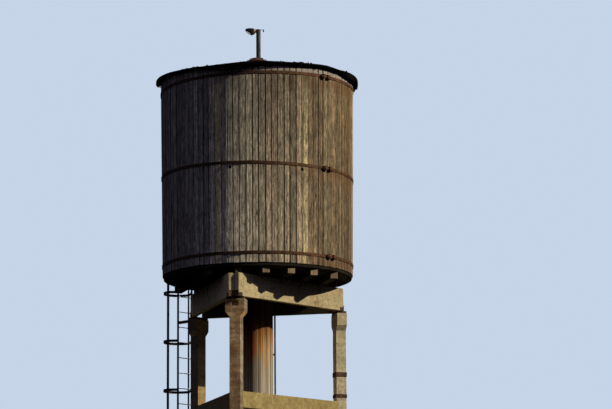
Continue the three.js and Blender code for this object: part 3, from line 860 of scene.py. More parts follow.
class Palette:
    """The tower's finishes, by where they are used."""

    boards = TankBoards(Slot.BOARDS, "Tank boards")
    joist = SawnTimber(
        Slot.JOIST, "Joist timber", pale=(0.52, 0.42, 0.30), dark=(0.16, 0.125, 0.09), painted_side_shade=0.04,
    )
    # A darker copy for the joists at the back left: painted shade.
    shade_painted_joist = SawnTimber(
        Slot.JOIST, "Shade-painted joist timber", pale=(0.10, 0.08, 0.065), dark=(0.032, 0.026, 0.022),
        painted_side_shade=0.2,
    )
    # Near-black deck timber: painted shade under the tank.
    deck = SawnTimber(
        Slot.DECK, "Deck timber darkened as shade", pale=(0.022, 0.018, 0.014), dark=(0.010, 0.008, 0.007),
    )
    riser = RiserBoards(Slot.CASING, "Riser boards")
    beam = PittedConcrete(
        Slot.CONCRETE, "Beam concrete", body=(0.68, 0.60, 0.42), pale=(0.80, 0.73, 0.53),
        stain_share=0.2, pitting=0.15,
    )
    # Its inner faces are darkened as painted shade.
    back_beam = PittedConcrete(
        Slot.CONCRETE, "Back beam concrete", body=(0.56, 0.50, 0.36), pale=(0.66, 0.60, 0.45),
        painted_inner_shade=0.12,
    )
    # The tint darkens the faces towards azimuth 210, turned from the sun: painted shade.
    ring_beam = PittedConcrete(
        Slot.CONCRETE, "Ring beam concrete", body=(0.52, 0.43, 0.20), pale=(0.62, 0.53, 0.28),
        stain_share=0.2, pitting=0.15, painted_face_azimuth=210.0, painted_face_tint=(0.4, 0.4, 0.45),
    )
    # Painted light: a pale body for the front face, which sunlight only grazes, and a tint that
    # darkens the sunlit side facing azimuth 0.
    front_column = PittedConcrete(
        Slot.CONCRETE, "Front column concrete", body=(0.86, 0.58, 0.31), pale=(0.97, 0.76, 0.48),
        stain=(0.42, 0.24, 0.11), stain_share=0.45, pitting=0.6, casting_bands=0.35,
        painted_face_azimuth=0.0, painted_face_tint=(0.50, 0.61, 0.90),
    )
    right_column = PittedConcrete(
        Slot.CONCRETE, "Right column concrete", body=(0.80, 0.74, 0.57), pale=(0.90, 0.84, 0.67),
        stain_share=0.12, pitting=0.3, casting_bands=0.18,
    )
    # The tint darkens the faces towards azimuth 240, turned from the sun: painted shade.
    left_column = PittedConcrete(
        Slot.CONCRETE, "Left column concrete", body=(0.56, 0.43, 0.22), pale=(0.66, 0.52, 0.29),
        stain_share=0.3, pitting=0.3, casting_bands=0.18, painted_face_azimuth=240.0,
        painted_face_tint=(0.42, 0.46, 0.72),
    )
    plates = RustingSteel(
        Slot.BEARING, "Bearing steel", clean=(0.03, 0.022, 0.018), old_rust=(0.045, 0.03, 0.024),
        new_rust=(0.17, 0.095, 0.065), amount=0.62,
    )
    # Faces turned from the sun are darkened as painted shade.
    hoops = RustingSteel(
        Slot.HOOP, "Hoop steel", clean=(0.030, 0.015, 0.010), old_rust=(0.060, 0.030, 0.018),
        new_rust=(0.19, 0.085, 0.045), amount=0.6, painted_lee_shade=0.45,
    )
    felt = RoofingFelt(Slot.FELT, "Roofing felt")
    cap = RustingSteel(
        Slot.CAP, "Apex sheet", clean=(0.055, 0.034, 0.027), old_rust=(0.062, 0.033, 0.023),
        new_rust=(0.11, 0.048, 0.028), amount=0.75,
    )
    post = RustingSteel(
        Slot.POST, "Post steel", clean=(0.042, 0.040, 0.040), old_rust=(0.035, 0.026, 0.022),
        new_rust=(0.06, 0.04, 0.03), amount=0.42,
    )
    housing = RustingSteel(
        Slot.HOUSING, "Lamp housing", clean=(0.02, 0.022, 0.028), old_rust=(0.05, 0.045, 0.045),
        new_rust=(0.07, 0.06, 0.055), amount=0.3, roughness=0.55,
    )
    lens = OpalLens(Slot.LENS, "Lamp lens")
    pipe = RustingSteel(Slot.PIPE, "Pipe steel", clean=(0.035, 0.033, 0.03), amount=0.4)
    ladder = RustingSteel(
        Slot.LADDER, "Ladder steel", clean=(0.018, 0.02, 0.026), old_rust=(0.05, 0.035, 0.03),
        new_rust=(0.12, 0.06, 0.04), amount=0.35, roughness=0.6,
    )


# Modelling moves


@dataclass(frozen=True)
class Profile:
    """A length that changes round the tower, given at azimuths in degrees."""

    stops: tuple[Pair, ...]

    def at(self, degrees: np.ndarray | float) -> np.ndarray | float:
        """Returns the length at one or more azimuths."""
        azimuths, lengths = np.array(self.stops).T
        return np.interp(degrees, azimuths, lengths, period=360.0)


class Bench:
    """Modelling moves that every sub-assembly uses."""

    merge_distance = 1e-5
    flat_angle = 1.0
    board_margin = 0.01
    square_on = 0.9

    @staticmethod
    def hold(*objects: Object) -> None:
        """Selects only these objects, or none, and makes the first one active."""
        bpy.ops.object.select_all(action="DESELECT")
        for item in objects:
            item.select_set(True)
        if objects:
            bpy.context.view_layer.objects.active = objects[0]

    @staticmethod
    @contextmanager
    def editing(item: Object, selected: bool = False) -> Iterator[None]:
        """Opens edit mode on one object, with its faces selected or not, and closes it after."""
        Bench.hold(item)
        bpy.ops.object.mode_set(mode="EDIT")
        bpy.ops.mesh.select_mode(type="FACE")
        bpy.ops.mesh.select_all(action="SELECT" if selected else "DESELECT")
        yield
        bpy.ops.object.mode_set(mode="OBJECT")

    @staticmethod
    def named(name: str) -> Object:
        """Names the new primitive and puts its place into its mesh."""
        made = bpy.context.object
        made.name = name
        bpy.ops.object.transform_apply(location=True, rotation=True, scale=True)
        return made

    @staticmethod
    def box(name: str, size: Triple, centre: Triple = (0.0, 0.0, 0.0)) -> Object:
        """Adds a block of a size along X, Y and Z, round a centre."""
        Bench.hold()
        bpy.ops.mesh.primitive_cube_add(size=1.0, location=centre, scale=size)
        return Bench.named(name)

    @staticmethod
    def rod(name: str, radius: float, start: Triple, end: Triple, sides: int = 12) -> Object:
        """Adds a round or many-sided rod between two points.

        Args:
            name: The rod's name.
            radius: Radius to its corners.
            start: Middle of one end.
            end: Middle of the other.
            sides: Sides round it.

        Returns:
            The rod, its place in its mesh.
        """
        a, b = Vector(start), Vector(end)
        turn = (b - a).to_track_quat("Z", "Y").to_euler()
        Bench.hold()
        bpy.ops.mesh.primitive_cylinder_add(
            vertices=sides, radius=radius, depth=(b - a).length, location=(a + b) / 2, rotation=turn
        )
        return Bench.named(name)

    @staticmethod
    def tube(name: str, sides: int, height: float) -> Object:
        """Adds an open tube of radius 1 round the tower's axis, half above z = 0."""
        Bench.hold()
        bpy.ops.mesh.primitive_cylinder_add(
            vertices=sides, radius=1.0, depth=height, end_fill_type="NOTHING"
        )
        return Bench.named(name)

    @staticmethod
    def sheet(name: str, wide: int, long: int) -> Object:
        """Adds a flat sheet one unit square, with this many points along X and Y."""
        Bench.hold()
        bpy.ops.mesh.primitive_grid_add(x_subdivisions=wide, y_subdivisions=long, size=1.0)
        return Bench.named(name)

    @staticmethod
    def from_node(node: str, name: str) -> Object:
        """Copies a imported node's mesh into a new object, its loose triangles merged."""
        made = bpy.data.objects.new(name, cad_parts[node].data.copy())
        made.data.materials.clear()
        bpy.context.collection.objects.link(made)
        with Bench.editing(made, selected=True):
            bpy.ops.mesh.remove_doubles(threshold=Bench.merge_distance)
            bpy.ops.mesh.dissolve_limited(angle_limit=math.radians(Bench.flat_angle))
        return made

    @staticmethod
    def pick(item: Object, test: Callable[[Vector, Vector], bool]) -> None:
        """Selects the faces of an object in edit mode that pass a test.

        Args:
            item: The object in edit mode.
            test: Takes a face's centre and its normal.
        """
        mesh = bmesh.from_edit_mesh(item.data)
        for face in mesh.faces:
            face.select_set(test(face.calc_center_median(), face.normal))
        bmesh.update_edit_mesh(item.data)

    @staticmethod
    def extrude(move: Triple) -> None:
        """Draws the selected faces out by a move."""
        bpy.ops.mesh.extrude_region_move(TRANSFORM_OT_translate={"value": move})

    @staticmethod
    def cut(item: Object, axis: Axis, places: Sequence[float]) -> None:
        """Cuts an edge loop round an object at each place along an axis."""
        with Bench.editing(item):
            for place in places:
                bpy.ops.mesh.select_all(action="SELECT")
                bpy.ops.mesh.bisect(plane_co=axis.vector() * place, plane_no=axis.vector())

    @staticmethod
    def cut_evenly(item: Object, axis: Axis, start: float, end: float, bays: int) -> None:
        """Cuts an object into bays of one length between two places along an axis."""
        Bench.cut(item, axis, [start + (end - start) * n / bays for n in range(1, bays)])

    @staticmethod
    def keep_between(item: Object, normal: Vector, low: float, high: float) -> None:
        """Cuts away what lies outside two parallel planes and caps the cuts.

        Args:
            item: The object.
            normal: The direction that the planes stand across.
            low: Distance of the first plane from the origin.
            high: Distance of the second.
        """
        with Bench.editing(item):
            for place, side in ((low, "clear_inner"), (high, "clear_outer")):
                bpy.ops.mesh.select_all(action="SELECT")
                bpy.ops.mesh.bisect(
                    plane_co=normal * place, plane_no=normal, use_fill=True, **{side: True}
                )

    @staticmethod
    def modify(item: Object, kind: str, **settings) -> None:
        """Adds a modifier of a kind, sets its properties and applies it."""
        Bench.hold(item)
        made = item.modifiers.new(kind.title(), kind)
        for name, value in settings.items():
            setattr(made, name, value)
        bpy.ops.object.modifier_apply(modifier=made.name)

    @staticmethod
    def ease(item: Object, width: float, segments: int = 1, angle: float = 40.0) -> None:
        """Rounds or chamfers an object's sharp edges.

        Args:
            item: The object.
            width: Width of the bevel.
            segments: Faces across it.
            angle: Least angle between faces, in degrees, at which an edge counts as sharp.
        """
        limit = {"limit_method": "ANGLE", "angle_limit": math.radians(angle)}
        Bench.modify(item, "BEVEL", width=width, segments=segments, **limit)

    @staticmethod
    def smooth(item: Object, angle: float = 35.0) -> None:
        """Shades an object smooth except across sharp edges."""
        Bench.hold(item)
        bpy.ops.object.shade_smooth_by_angle(angle=math.radians(angle))

    @staticmethod
    def points(item: Object) -> np.ndarray:
        """Returns an object's points, one row each."""
        rows = np.empty(len(item.data.vertices) * 3)
        item.data.vertices.foreach_get("co", rows)
        return rows.reshape(-1, 3)

    @staticmethod
    def move_points(item: Object, *columns: np.ndarray) -> None:
        """Moves an object's points to new places: all X, all Y and all Z."""
        item.data.vertices.foreach_set("co", np.stack(columns, 1).reshape(-1))
        item.data.update()

    @staticmethod
    def move_round(item: Object, azimuth: np.ndarray, radius: np.ndarray, high: np.ndarray) -> None:
        """Moves an object's points to azimuths in radians, radii and heights."""
        Bench.move_points(item, radius * np.cos(azimuth), radius * np.sin(azimuth), high)

    @staticmethod
    def unsettle(item: Object, amount: float, seed: int, along: Axis = Axis.Z) -> None:
        """Makes arrises uneven by moving points across an axis, never along it.

        Args:
            item: The object.
            amount: Furthest move.
            seed: Seed of the random moves.
            along: The axis that points don't move along.
        """
        rows = Bench.points(item)
        moves = np.random.default_rng(seed).uniform(-amount, amount, rows.shape)
        moves[:, along.value] = 0.0
        Bench.move_points(item, *(rows + moves).T)

    @staticmethod
    def copy(item: Object, place: Matrix | None = None) -> Object:
        """Copies an object with its own mesh and puts a place into the copy."""
        made = item.copy()
        made.data = item.data.copy()
        bpy.context.collection.objects.link(made)
        if place:
            made.data.transform(place)
        return made

    @staticmethod
    def shift(item: Object, *move: float) -> None:
        """Shifts an object's mesh along X, Y and Z."""
        item.data.transform(Matrix.Translation(move))

    @staticmethod
    def joined(name: str, parts: Sequence[Object]) -> Object:
        """Joins objects into one and names it."""
        Bench.hold(*parts)
        if len(parts) > 1:
            bpy.ops.object.join()
        parts[0].name = name
        return parts[0]

    @staticmethod
    def number_board(item: Object, number: int, across: Axis, along: Axis, width: float) -> None:
        """Writes the board map: number plus place across in U, metres along in V.

        Args:
            item: A board that lies square to the axes, centred across.
            number: The board's number.
            across: The axis across the board.
            along: The axis along it.
            width: Its width.
        """
        mesh = item.data
        layer = mesh.uv_layers.get(BOARD_UV) or mesh.uv_layers.new(name=BOARD_UV)
        rows = Bench.points(item)
        corners = np.empty(len(mesh.loops), dtype=np.int32)
        mesh.loops.foreach_get("vertex_index", corners)
        share = rows[corners, across.value] / width + 0.5
        share = np.clip(share, Bench.board_margin, 1.0 - Bench.board_margin)
        places = np.stack([number + share, rows[corners, along.value]], 1)
        layer.data.foreach_set("uv", places.reshape(-1))

    @staticmethod
    def around(azimuth: float, distance: float = 0.0, height: float = 0.0) -> Matrix:
        """Returns a place at an azimuth, distance and height, its X axis pointing outwards."""
        turn = Matrix.Rotation(math.radians(azimuth), 4, "Z")
        return turn @ Matrix.Translation((distance, 0.0, height))

    @staticmethod
    def deliver(item: Object, finish: Finish, *nodes: str) -> None:
        """Dresses a finished piece, sets it on the tower and reports it.

        Args:
            item: The piece.
            finish: Its finish.
            *nodes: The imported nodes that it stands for.
        """
        item.data.materials.clear()
        item.data.materials.append(finish.material())
        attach(item, BODY)
        if nodes:
            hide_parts(*nodes)
        log.info("piece %s: %d faces, %s", item.name, len(item.data.polygons), finish.title)

    @staticmethod
    def retouch(
        node: str, ending: str, finish: Finish, width: float, segments: int = 1,
        angle: float = 40.0, shading: float | None = None,
    ) -> None:
        """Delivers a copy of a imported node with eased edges.

        Args:
            node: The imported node.
            ending: What the piece's name adds to the node's.
            finish: Its finish.
            width: Width of the bevel on its edges.
            segments: Faces across it.
            angle: Least angle of an edge that is eased.
            shading: Least angle of an edge that stays crisp, or None for flat faces.
        """
        piece = Bench.from_node(node, f"{node}_{ending}")
        Bench.ease(piece, width, segments, angle)
        if shading:
            Bench.smooth(piece, shading)
        Bench.deliver(piece, finish, node)

    @staticmethod
    def dress_node(node: str, finish: Finish) -> None:
        """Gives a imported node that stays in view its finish."""
        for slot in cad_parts[node].material_slots:
            slot.material = finish.material()
        log.info("node %s kept: %s", node, finish.title)


# Riser


@dataclass
class Riser:
    """The boarded riser in the middle of the frame and the pipe beside it."""

    radius: float = 0.29
    flats: int = 22
    boards: int = 44
    thickness: float = 0.022
    top: float = 8.8197
    bays: int = 8
    joint: float = 0.006
    easing: float = 0.003
    wander: float = 0.0012
    inset: float = 0.005
    first_azimuth: float = 270.0
    seed: int = 5

    @property
    def pitch(self) -> float:
        """Distance from one board's middle to the next one's."""
        return 2.0 * self.radius * math.tan(math.pi / self.boards)

    def pattern(self) -> Object:
        """Models one board, its outer face towards +X."""
        size = (self.thickness, self.pitch - self.joint, self.top)
        board = Bench.box("riser_board", size, (-self.thickness / 2, 0.0, self.top / 2))
        Bench.cut_evenly(board, Axis.Z, 0.0, self.top, self.bays)
        Bench.ease(board, self.easing)
        return board

    def build(self) -> None:
        """Builds the ring of boards and dresses the pipe."""
        chance = random.Random(self.seed)
        pattern = self.pattern()
        flat = self.radius * math.cos(math.pi / self.flats)
        boards = []
        for number in range(self.boards):
            board = Bench.copy(pattern)
            Bench.number_board(board, number, Axis.Y, Axis.Z, self.pitch)
            Bench.unsettle(board, self.wander, self.seed + number)
            azimuth = self.first_azimuth + 360.0 * (number + 0.5) / self.boards
            inset = chance.uniform(0.0, self.inset)
            board.data.transform(Bench.around(azimuth, flat - inset))
            boards.append(board)
        bpy.data.objects.remove(pattern)
        Bench.deliver(Bench.joined("riser_boards", boards), Palette.riser, "riser")
        Bench.dress_node("overflow_pipe", Palette.pipe)


# Concrete frame


@dataclass(frozen=True)
class Column:
    """Where one column stands, its finish, and the seed of its uneven edges."""

    name: str
    azimuth: float
    finish: Finish
    seed: int


@dataclass(frozen=True)
class FrameSide:
    """One side of the triangle, and how far its top beam reaches either way from its middle."""

    name: str
    azimuth: float
    clockwise: float
    anticlockwise: float
    finish: Finish
    seed: int


@dataclass
class ConcreteFrame:
    """Three columns, the deep beams on their heads and the ring beams between them."""

    ring_radius: float = 1.623
    width: float = 0.21
    depth: float = 0.20
    head_width: float = 0.374
    head_top: float = 8.344
    head_block: float = 0.230
    head_taper: float = 0.100
    notch: Triple = (0.055, 0.130, 0.100)
    notch_below_top: float = 0.032
    column_bays: int = 26
    column_wander: float = 0.0018
    beam_middle: float = 0.93
    beam_thickness: float = 0.11
    beam_height: float = 0.431
    beam_soffit: float = 8.389
    beam_bays: int = 14
    beam_wander: float = 0.002
    easing: float = 0.004
    ring_easing: float = 0.006
    shading: float = 35.0
    shoe_length: float = 0.10
    shoe_heights: Pair = (0.07, 0.11)
    shoe_thickness: float = 0.006
    shoe_easing: float = 0.0015
    collar_easing: float = 0.002
    columns: tuple[Column, ...] = (
        Column("front", azimuth=270.0, finish=Palette.front_column, seed=11),
        Column("right", azimuth=30.0, finish=Palette.right_column, seed=12),
        Column("left", azimuth=150.0, finish=Palette.left_column, seed=13),
    )
    sides: tuple[FrameSide, ...] = (
        FrameSide(
            "front_right", azimuth=330.0, clockwise=1.514, anticlockwise=1.345,
            finish=Palette.beam, seed=31,
        ),
        FrameSide(
            "front_left", azimuth=210.0, clockwise=1.345, anticlockwise=1.514,
            finish=Palette.beam, seed=32,
        ),
        FrameSide(
            "back", azimuth=90.0, clockwise=1.345, anticlockwise=1.345,
            finish=Palette.back_beam, seed=33,
        ),
    )

    def column(self) -> Object:
        """Models a column with its widened head and the pocket in the head's outer face.

        Returns:
            The column, standing on the tower's axis.
        """
        shaft_top = self.head_top - self.head_block - self.head_taper
        size = (self.depth, self.width, shaft_top)
        column = Bench.box("column", size, (0.0, 0.0, shaft_top / 2))
        with Bench.editing(column):
            Bench.pick(column, lambda centre, normal: normal.z > Bench.square_on)
            Bench.extrude((0.0, 0.0, self.head_taper))
            bpy.ops.transform.resize(
                value=(1.0, self.head_width / self.width, 1.0),
                center_override=(0.0, 0.0, shaft_top + self.head_taper),
            )
            Bench.extrude((0.0, 0.0, self.head_block))
        inset, wide, high = self.notch
        notch_top = self.head_top - self.notch_below_top
        Bench.cut(column, Axis.Z, [notch_top, notch_top - high])
        Bench.cut(column, Axis.Y, [-wide / 2, wide / 2])
        Bench.cut_evenly(column, Axis.Z, 0.0, shaft_top, self.column_bays)
        with Bench.editing(column):
            Bench.pick(
                column,
                lambda centre, normal: normal.x > Bench.square_on
                and abs(centre.y) < wide / 2
                and notch_top - high < centre.z < notch_top,
            )
            Bench.extrude((-inset, 0.0, 0.0))
        return column

    def build_columns(self) -> None:
        """Places the three columns."""
        pattern = self.column()
        for place in self.columns:
            column = Bench.copy(pattern)
            column.name = f"column_{place.name}_cast"
            Bench.unsettle(column, self.column_wander, place.seed)
            Bench.ease(column, self.easing)
            Bench.smooth(column, self.shading)
            column.data.transform(Bench.around(place.azimuth, self.ring_radius))
            Bench.deliver(column, place.finish, f"column_{place.name}")
        bpy.data.objects.remove(pattern)

    def build_beams(self) -> None:
        """Places the deep beams on the heads and the ring beams between the columns."""
        for side in self.sides:
            length = side.clockwise + side.anticlockwise
            middle = (side.anticlockwise - side.clockwise) / 2
            beam = Bench.box(
                f"top_beam_{side.name}_cast",
                (self.beam_thickness, length, self.beam_height),
                (0.0, middle, self.beam_soffit + self.beam_height / 2),
            )
            Bench.cut_evenly(beam, Axis.Y, -side.clockwise, side.anticlockwise, self.beam_bays)
            Bench.unsettle(beam, self.beam_wander, side.seed, Axis.Y)
            Bench.ease(beam, self.easing)
            Bench.smooth(beam, self.shading)
            beam.data.transform(Bench.around(side.azimuth, self.beam_middle))
            Bench.deliver(beam, side.finish, f"top_beam_{side.name}")
            for level in ("upper", "lower"):
                node = f"ring_beam_{level}_{side.name}"
                Bench.retouch(
                    node, "cast", Palette.ring_beam, self.ring_easing, 2, shading=self.shading
                )

    def shoe(self, side: FrameSide, hand: int) -> Object:
        """Models the steel shoe round a beam's lower end.

        Args:
            side: Which side of the frame the beam is on.
            hand: 1 for the end that lies anticlockwise, -1 for the other.

        Returns:
            The shoe, in its place.
        """
        thick = self.shoe_thickness
        half = side.anticlockwise if hand > 0 else side.clockwise
        side_high, end_high = self.shoe_heights
        outer = self.beam_thickness / 2 + thick / 2
        along = hand * (half - self.shoe_length / 2)
        side_size = (thick, self.shoe_length, side_high)
        side_middle = self.beam_soffit + side_high / 2
        plates = [
            Bench.box("shoe_side", side_size, (outer * face, along, side_middle))
            for face in (-1.0, 1.0)
        ]
        end_size = (self.beam_thickness + 2 * thick, thick, end_high)
        end_middle = (0.0, hand * (half + thick / 2), self.beam_soffit + end_high / 2)
        plates.append(Bench.box("shoe_end", end_size, end_middle))
        shoe = Bench.joined("shoe", plates)
        shoe.data.transform(Bench.around(side.azimuth, self.beam_middle))
        Bench.ease(shoe, self.shoe_easing)
        return shoe

    def build_plates(self) -> None:
        """Places the bearing plates with the beam shoes on them, and the collars."""
        front_right, front_left, back = self.sides
        ends = {
            "front": ((front_right, -1), (front_left, 1)),
            "right": ((front_right, 1), (back, -1)),
            "left": ((front_left, -1), (back, 1)),
        }
        for corner, meeting in ends.items():
            plate = Bench.from_node(f"bearing_plate_{corner}", "plate")
            Bench.ease(plate, self.easing)
            shoes = [self.shoe(side, hand) for side, hand in meeting]
            piece = Bench.joined(f"bearing_{corner}", [plate, *shoes])
            Bench.deliver(piece, Palette.plates, f"bearing_plate_{corner}")
        for level in ("upper", "lower"):
            Bench.retouch(f"collar_{level}", "strap", Palette.plates, self.collar_easing)

    def build(self) -> None:
        """Builds the whole frame."""
        self.build_columns()
        self.build_beams()
        self.build_plates()


# Platform


@dataclass
class Platform:
    """Timber joists on the beams and the boarded deck under the tank."""

    joist_width: float = 0.142
    joist_bottom: float = 8.82
    joist_top: float = 8.95
    joist_azimuth: float = 30.0
    spacing: float = 0.476
    shift: float = -0.08
    joists: int = 6
    # How many joists take the shade-painted copy.
    shade_painted: int = 2
    joist_bays: int = 8
    joist_wander: float = 0.002
    joist_easing: float = 0.005
    joist_play: float = 0.006
    reach: float = 1.74
    deck_radius: float = 1.797
    deck_bottom: float = 8.95
    deck_top: float = 9.0
    deck_sides: int = 96
    deck_edge: float = 0.004
    plank: float = 0.144
    plank_gap: float = 0.005
    seed: int = 17

    def build_joists(self) -> None:
        """Places the joists, each as long as its chord of the platform."""
        chance = random.Random(self.seed)
        high = self.joist_top - self.joist_bottom
        middle = (self.joist_top + self.joist_bottom) / 2
        for number in range(self.joists):
            offset = (number - (self.joists - 1) / 2) * self.spacing + self.shift
            half = math.sqrt(self.reach**2 - offset**2)
            size = (self.joist_width, 2 * half, high)
            joist = Bench.box(f"joist_{number + 1}_sawn", size, (0.0, 0.0, middle))
            Bench.cut_evenly(joist, Axis.Y, -half, half, self.joist_bays)
            Bench.number_board(joist, number, Axis.X, Axis.Y, self.joist_width)
            Bench.unsettle(joist, self.joist_wander, self.seed + number, Axis.Y)
            Bench.ease(joist, self.joist_easing)
            Bench.shift(joist, 0.0, chance.uniform(-self.joist_play, self.joist_play), 0.0)
            joist.data.transform(Bench.around(self.joist_azimuth, offset))
            # The first joists take the darker copy, which paints their shade.
            finish = Palette.shade_painted_joist if number < self.shade_painted else Palette.joist
            Bench.deliver(joist, finish, f"joist_{number + 1}")

    def build_deck(self) -> None:
        """Lays planks across the joists, their ends cut to the round of the tank."""
        ends = ((0.0, 0.0, self.deck_bottom), (0.0, 0.0, self.deck_top))
        disc = Bench.rod("disc", self.deck_radius, *ends, self.deck_sides)
        half_gap = self.plank_gap / 2
        edge = self.deck_radius - self.deck_edge
        count = math.ceil(2 * self.deck_radius / self.plank)
        planks = []
        for number in range(count):
            low = (number - count / 2) * self.plank
            high = low + self.plank
            plank = Bench.copy(disc)
            Bench.keep_between(
                plank, Axis.Y.vector(), max(low + half_gap, -edge), min(high - half_gap, edge)
            )
            middle = low + self.plank / 2
            Bench.shift(plank, 0.0, -middle, 0.0)
            Bench.number_board(plank, number, Axis.Y, Axis.X, self.plank)
            Bench.shift(plank, 0.0, middle, 0.0)
            planks.append(plank)
        bpy.data.objects.remove(disc)
        deck = Bench.joined("deck_planks", planks)
        deck.data.transform(Bench.around(self.joist_azimuth))
        Bench.deliver(deck, Palette.deck, "tank_deck")

    def build(self) -> None:
        """Builds joists and deck."""
        self.build_joists()
        self.build_deck()


# Tank


# How far the eave hangs below a true cone, at azimuths in degrees
EAVE_SAG = Profile((
    (0.0, 0.005), (60.0, 0.02), (120.0, 0.005), (185.0, 0.0), (197.0, 0.022), (210.0, 0.022),
    (228.0, 0.042), (240.0, 0.062), (256.0, 0.085), (274.0, 0.075), (297.0, 0.055),
    (312.0, 0.038), (326.0, 0.015), (337.0, 0.036), (349.0, 0.015),
))


@dataclass
class TankWall:
    """The round wall of upright boards, in six segments of sixteen."""

    bottom: float = 9.0
    top: float = 12.785
    bottom_radius: float = 1.82
    top_radius: float = 1.864
    thickness: float = 0.045
    boards: int = 96
    segments: int = 6
    first_azimuth: float = -30.0
    bays: int = 10
    easing: float = 0.004
    seed: int = 23
    gap: Pair = (0.001, 0.007)
    wide_gap: Pair = (0.011, 0.018)
    wide_gap_share: float = 0.32
    width_play: float = 0.10
    turn: float = 3.2
    bow: float = 0.002
    bow_waves: Pair = (1.0, 2.5)
    inset: float = 0.006
    lean: float = 0.001
    ragged_foot: float = 0.008
    ragged_head: float = 0.02
    free_sag: float = 0.012

    @property
    def middle_radius(self) -> float:
        """Radius half-way up."""
        return (self.bottom_radius + self.top_radius) / 2

    @property
    def board_width(self) -> float:
        """Width of a board half-way up."""
        return 2 * self.middle_radius * math.sin(math.pi / self.boards)

    def radius(self, height: np.ndarray | float) -> np.ndarray | float:
        """Returns the radius of the wall's outer corners at one or more heights."""
        share = (height - self.bottom) / (self.top - self.bottom)
        return self.bottom_radius + (self.top_radius - self.bottom_radius) * share

    def pattern(self) -> Object:
        """Models one board with eased edges, its outer face at x = 0."""
        length = self.top - self.bottom
        size = (self.thickness, self.board_width, length)
        board = Bench.box("stave", size, (-self.thickness / 2, 0.0, self.bottom + length / 2))
        Bench.cut_evenly(board, Axis.Z, self.bottom, self.top, self.bays)
        Bench.cut(board, Axis.Y, [0.0])
        Bench.ease(board, self.easing)
        return board

    def place(self, board: Object, azimuth: float, breadth: float, chance: random.Random) -> None:
        """Shapes one board to its taper and stands it in the wall.

        The felt sags over the boards' heads, which are cut down to stay under it.

        Args:
            board: A copy of the pattern.
            azimuth: Where its middle goes.
            breadth: Its width, as a share of an even board's.
            chance: Source of its unevenness.
        """
        x, y, z = Bench.points(board).T
        share = (z - self.bottom) / (self.top - self.bottom)
        wide = chance.random() < self.wide_gap_share
        gap = chance.uniform(*(self.wide_gap if wide else self.gap))
        widening = self.radius(z) / self.middle_radius
        across = y * widening * (breadth - gap / self.board_width * (1.0 + x / self.thickness))
        turn = math.tan(math.radians(chance.uniform(-self.turn, self.turn)))
        edge = abs(turn) * breadth * self.board_width / 2
        bow = chance.uniform(0.0, self.bow)
        bow = bow * np.sin(math.pi * share * chance.uniform(*self.bow_waves))
        outer = self.middle_radius * widening * math.cos(breadth * math.pi / self.boards)
        depth = x + y * turn - edge - bow - chance.uniform(0.0, self.inset)
        across = across + chance.uniform(-self.lean, self.lean) * share
        foot = chance.uniform(0.0, self.ragged_foot) * (1.0 - share)
        cut_down = max(float(EAVE_SAG.at(azimuth)) - self.free_sag, 0.0)
        head = (chance.uniform(-self.ragged_head, 0.0) - cut_down) * share
        Bench.move_points(board, outer + depth, across, z + foot + head)
        board.data.transform(Bench.around(azimuth))

    def build(self) -> None:
        """Builds the six segments."""
        chance = random.Random(self.seed)
        pattern = self.pattern()
        each = self.boards // self.segments
        step = 360.0 / self.boards
        for segment in range(self.segments):
            boards = []
            play = [chance.uniform(-self.width_play, self.width_play) for _ in range(each - 1)]
            seams = [number + shift for number, shift in enumerate([0.0, *play, 0.0])]
            for number, (first, last) in enumerate(zip(seams, seams[1:]), segment * each):
                board = Bench.copy(pattern)
                Bench.number_board(board, number, Axis.Y, Axis.Z, self.board_width)
                middle = segment * each + (first + last) / 2
                self.place(board, self.first_azimuth + middle * step, last - first, chance)
                boards.append(board)
            piece = Bench.joined(f"tank_boards_{segment + 1}", boards)
            Bench.deliver(piece, Palette.boards, f"tank_wall_{segment + 1}")
        bpy.data.objects.remove(pattern)


@dataclass(frozen=True)
class Hoop:
    """Where one hoop lies, its tilt in degrees, and where its ends are drawn together."""

    name: str
    height: float
    tilt: float
    lug_azimuth: float


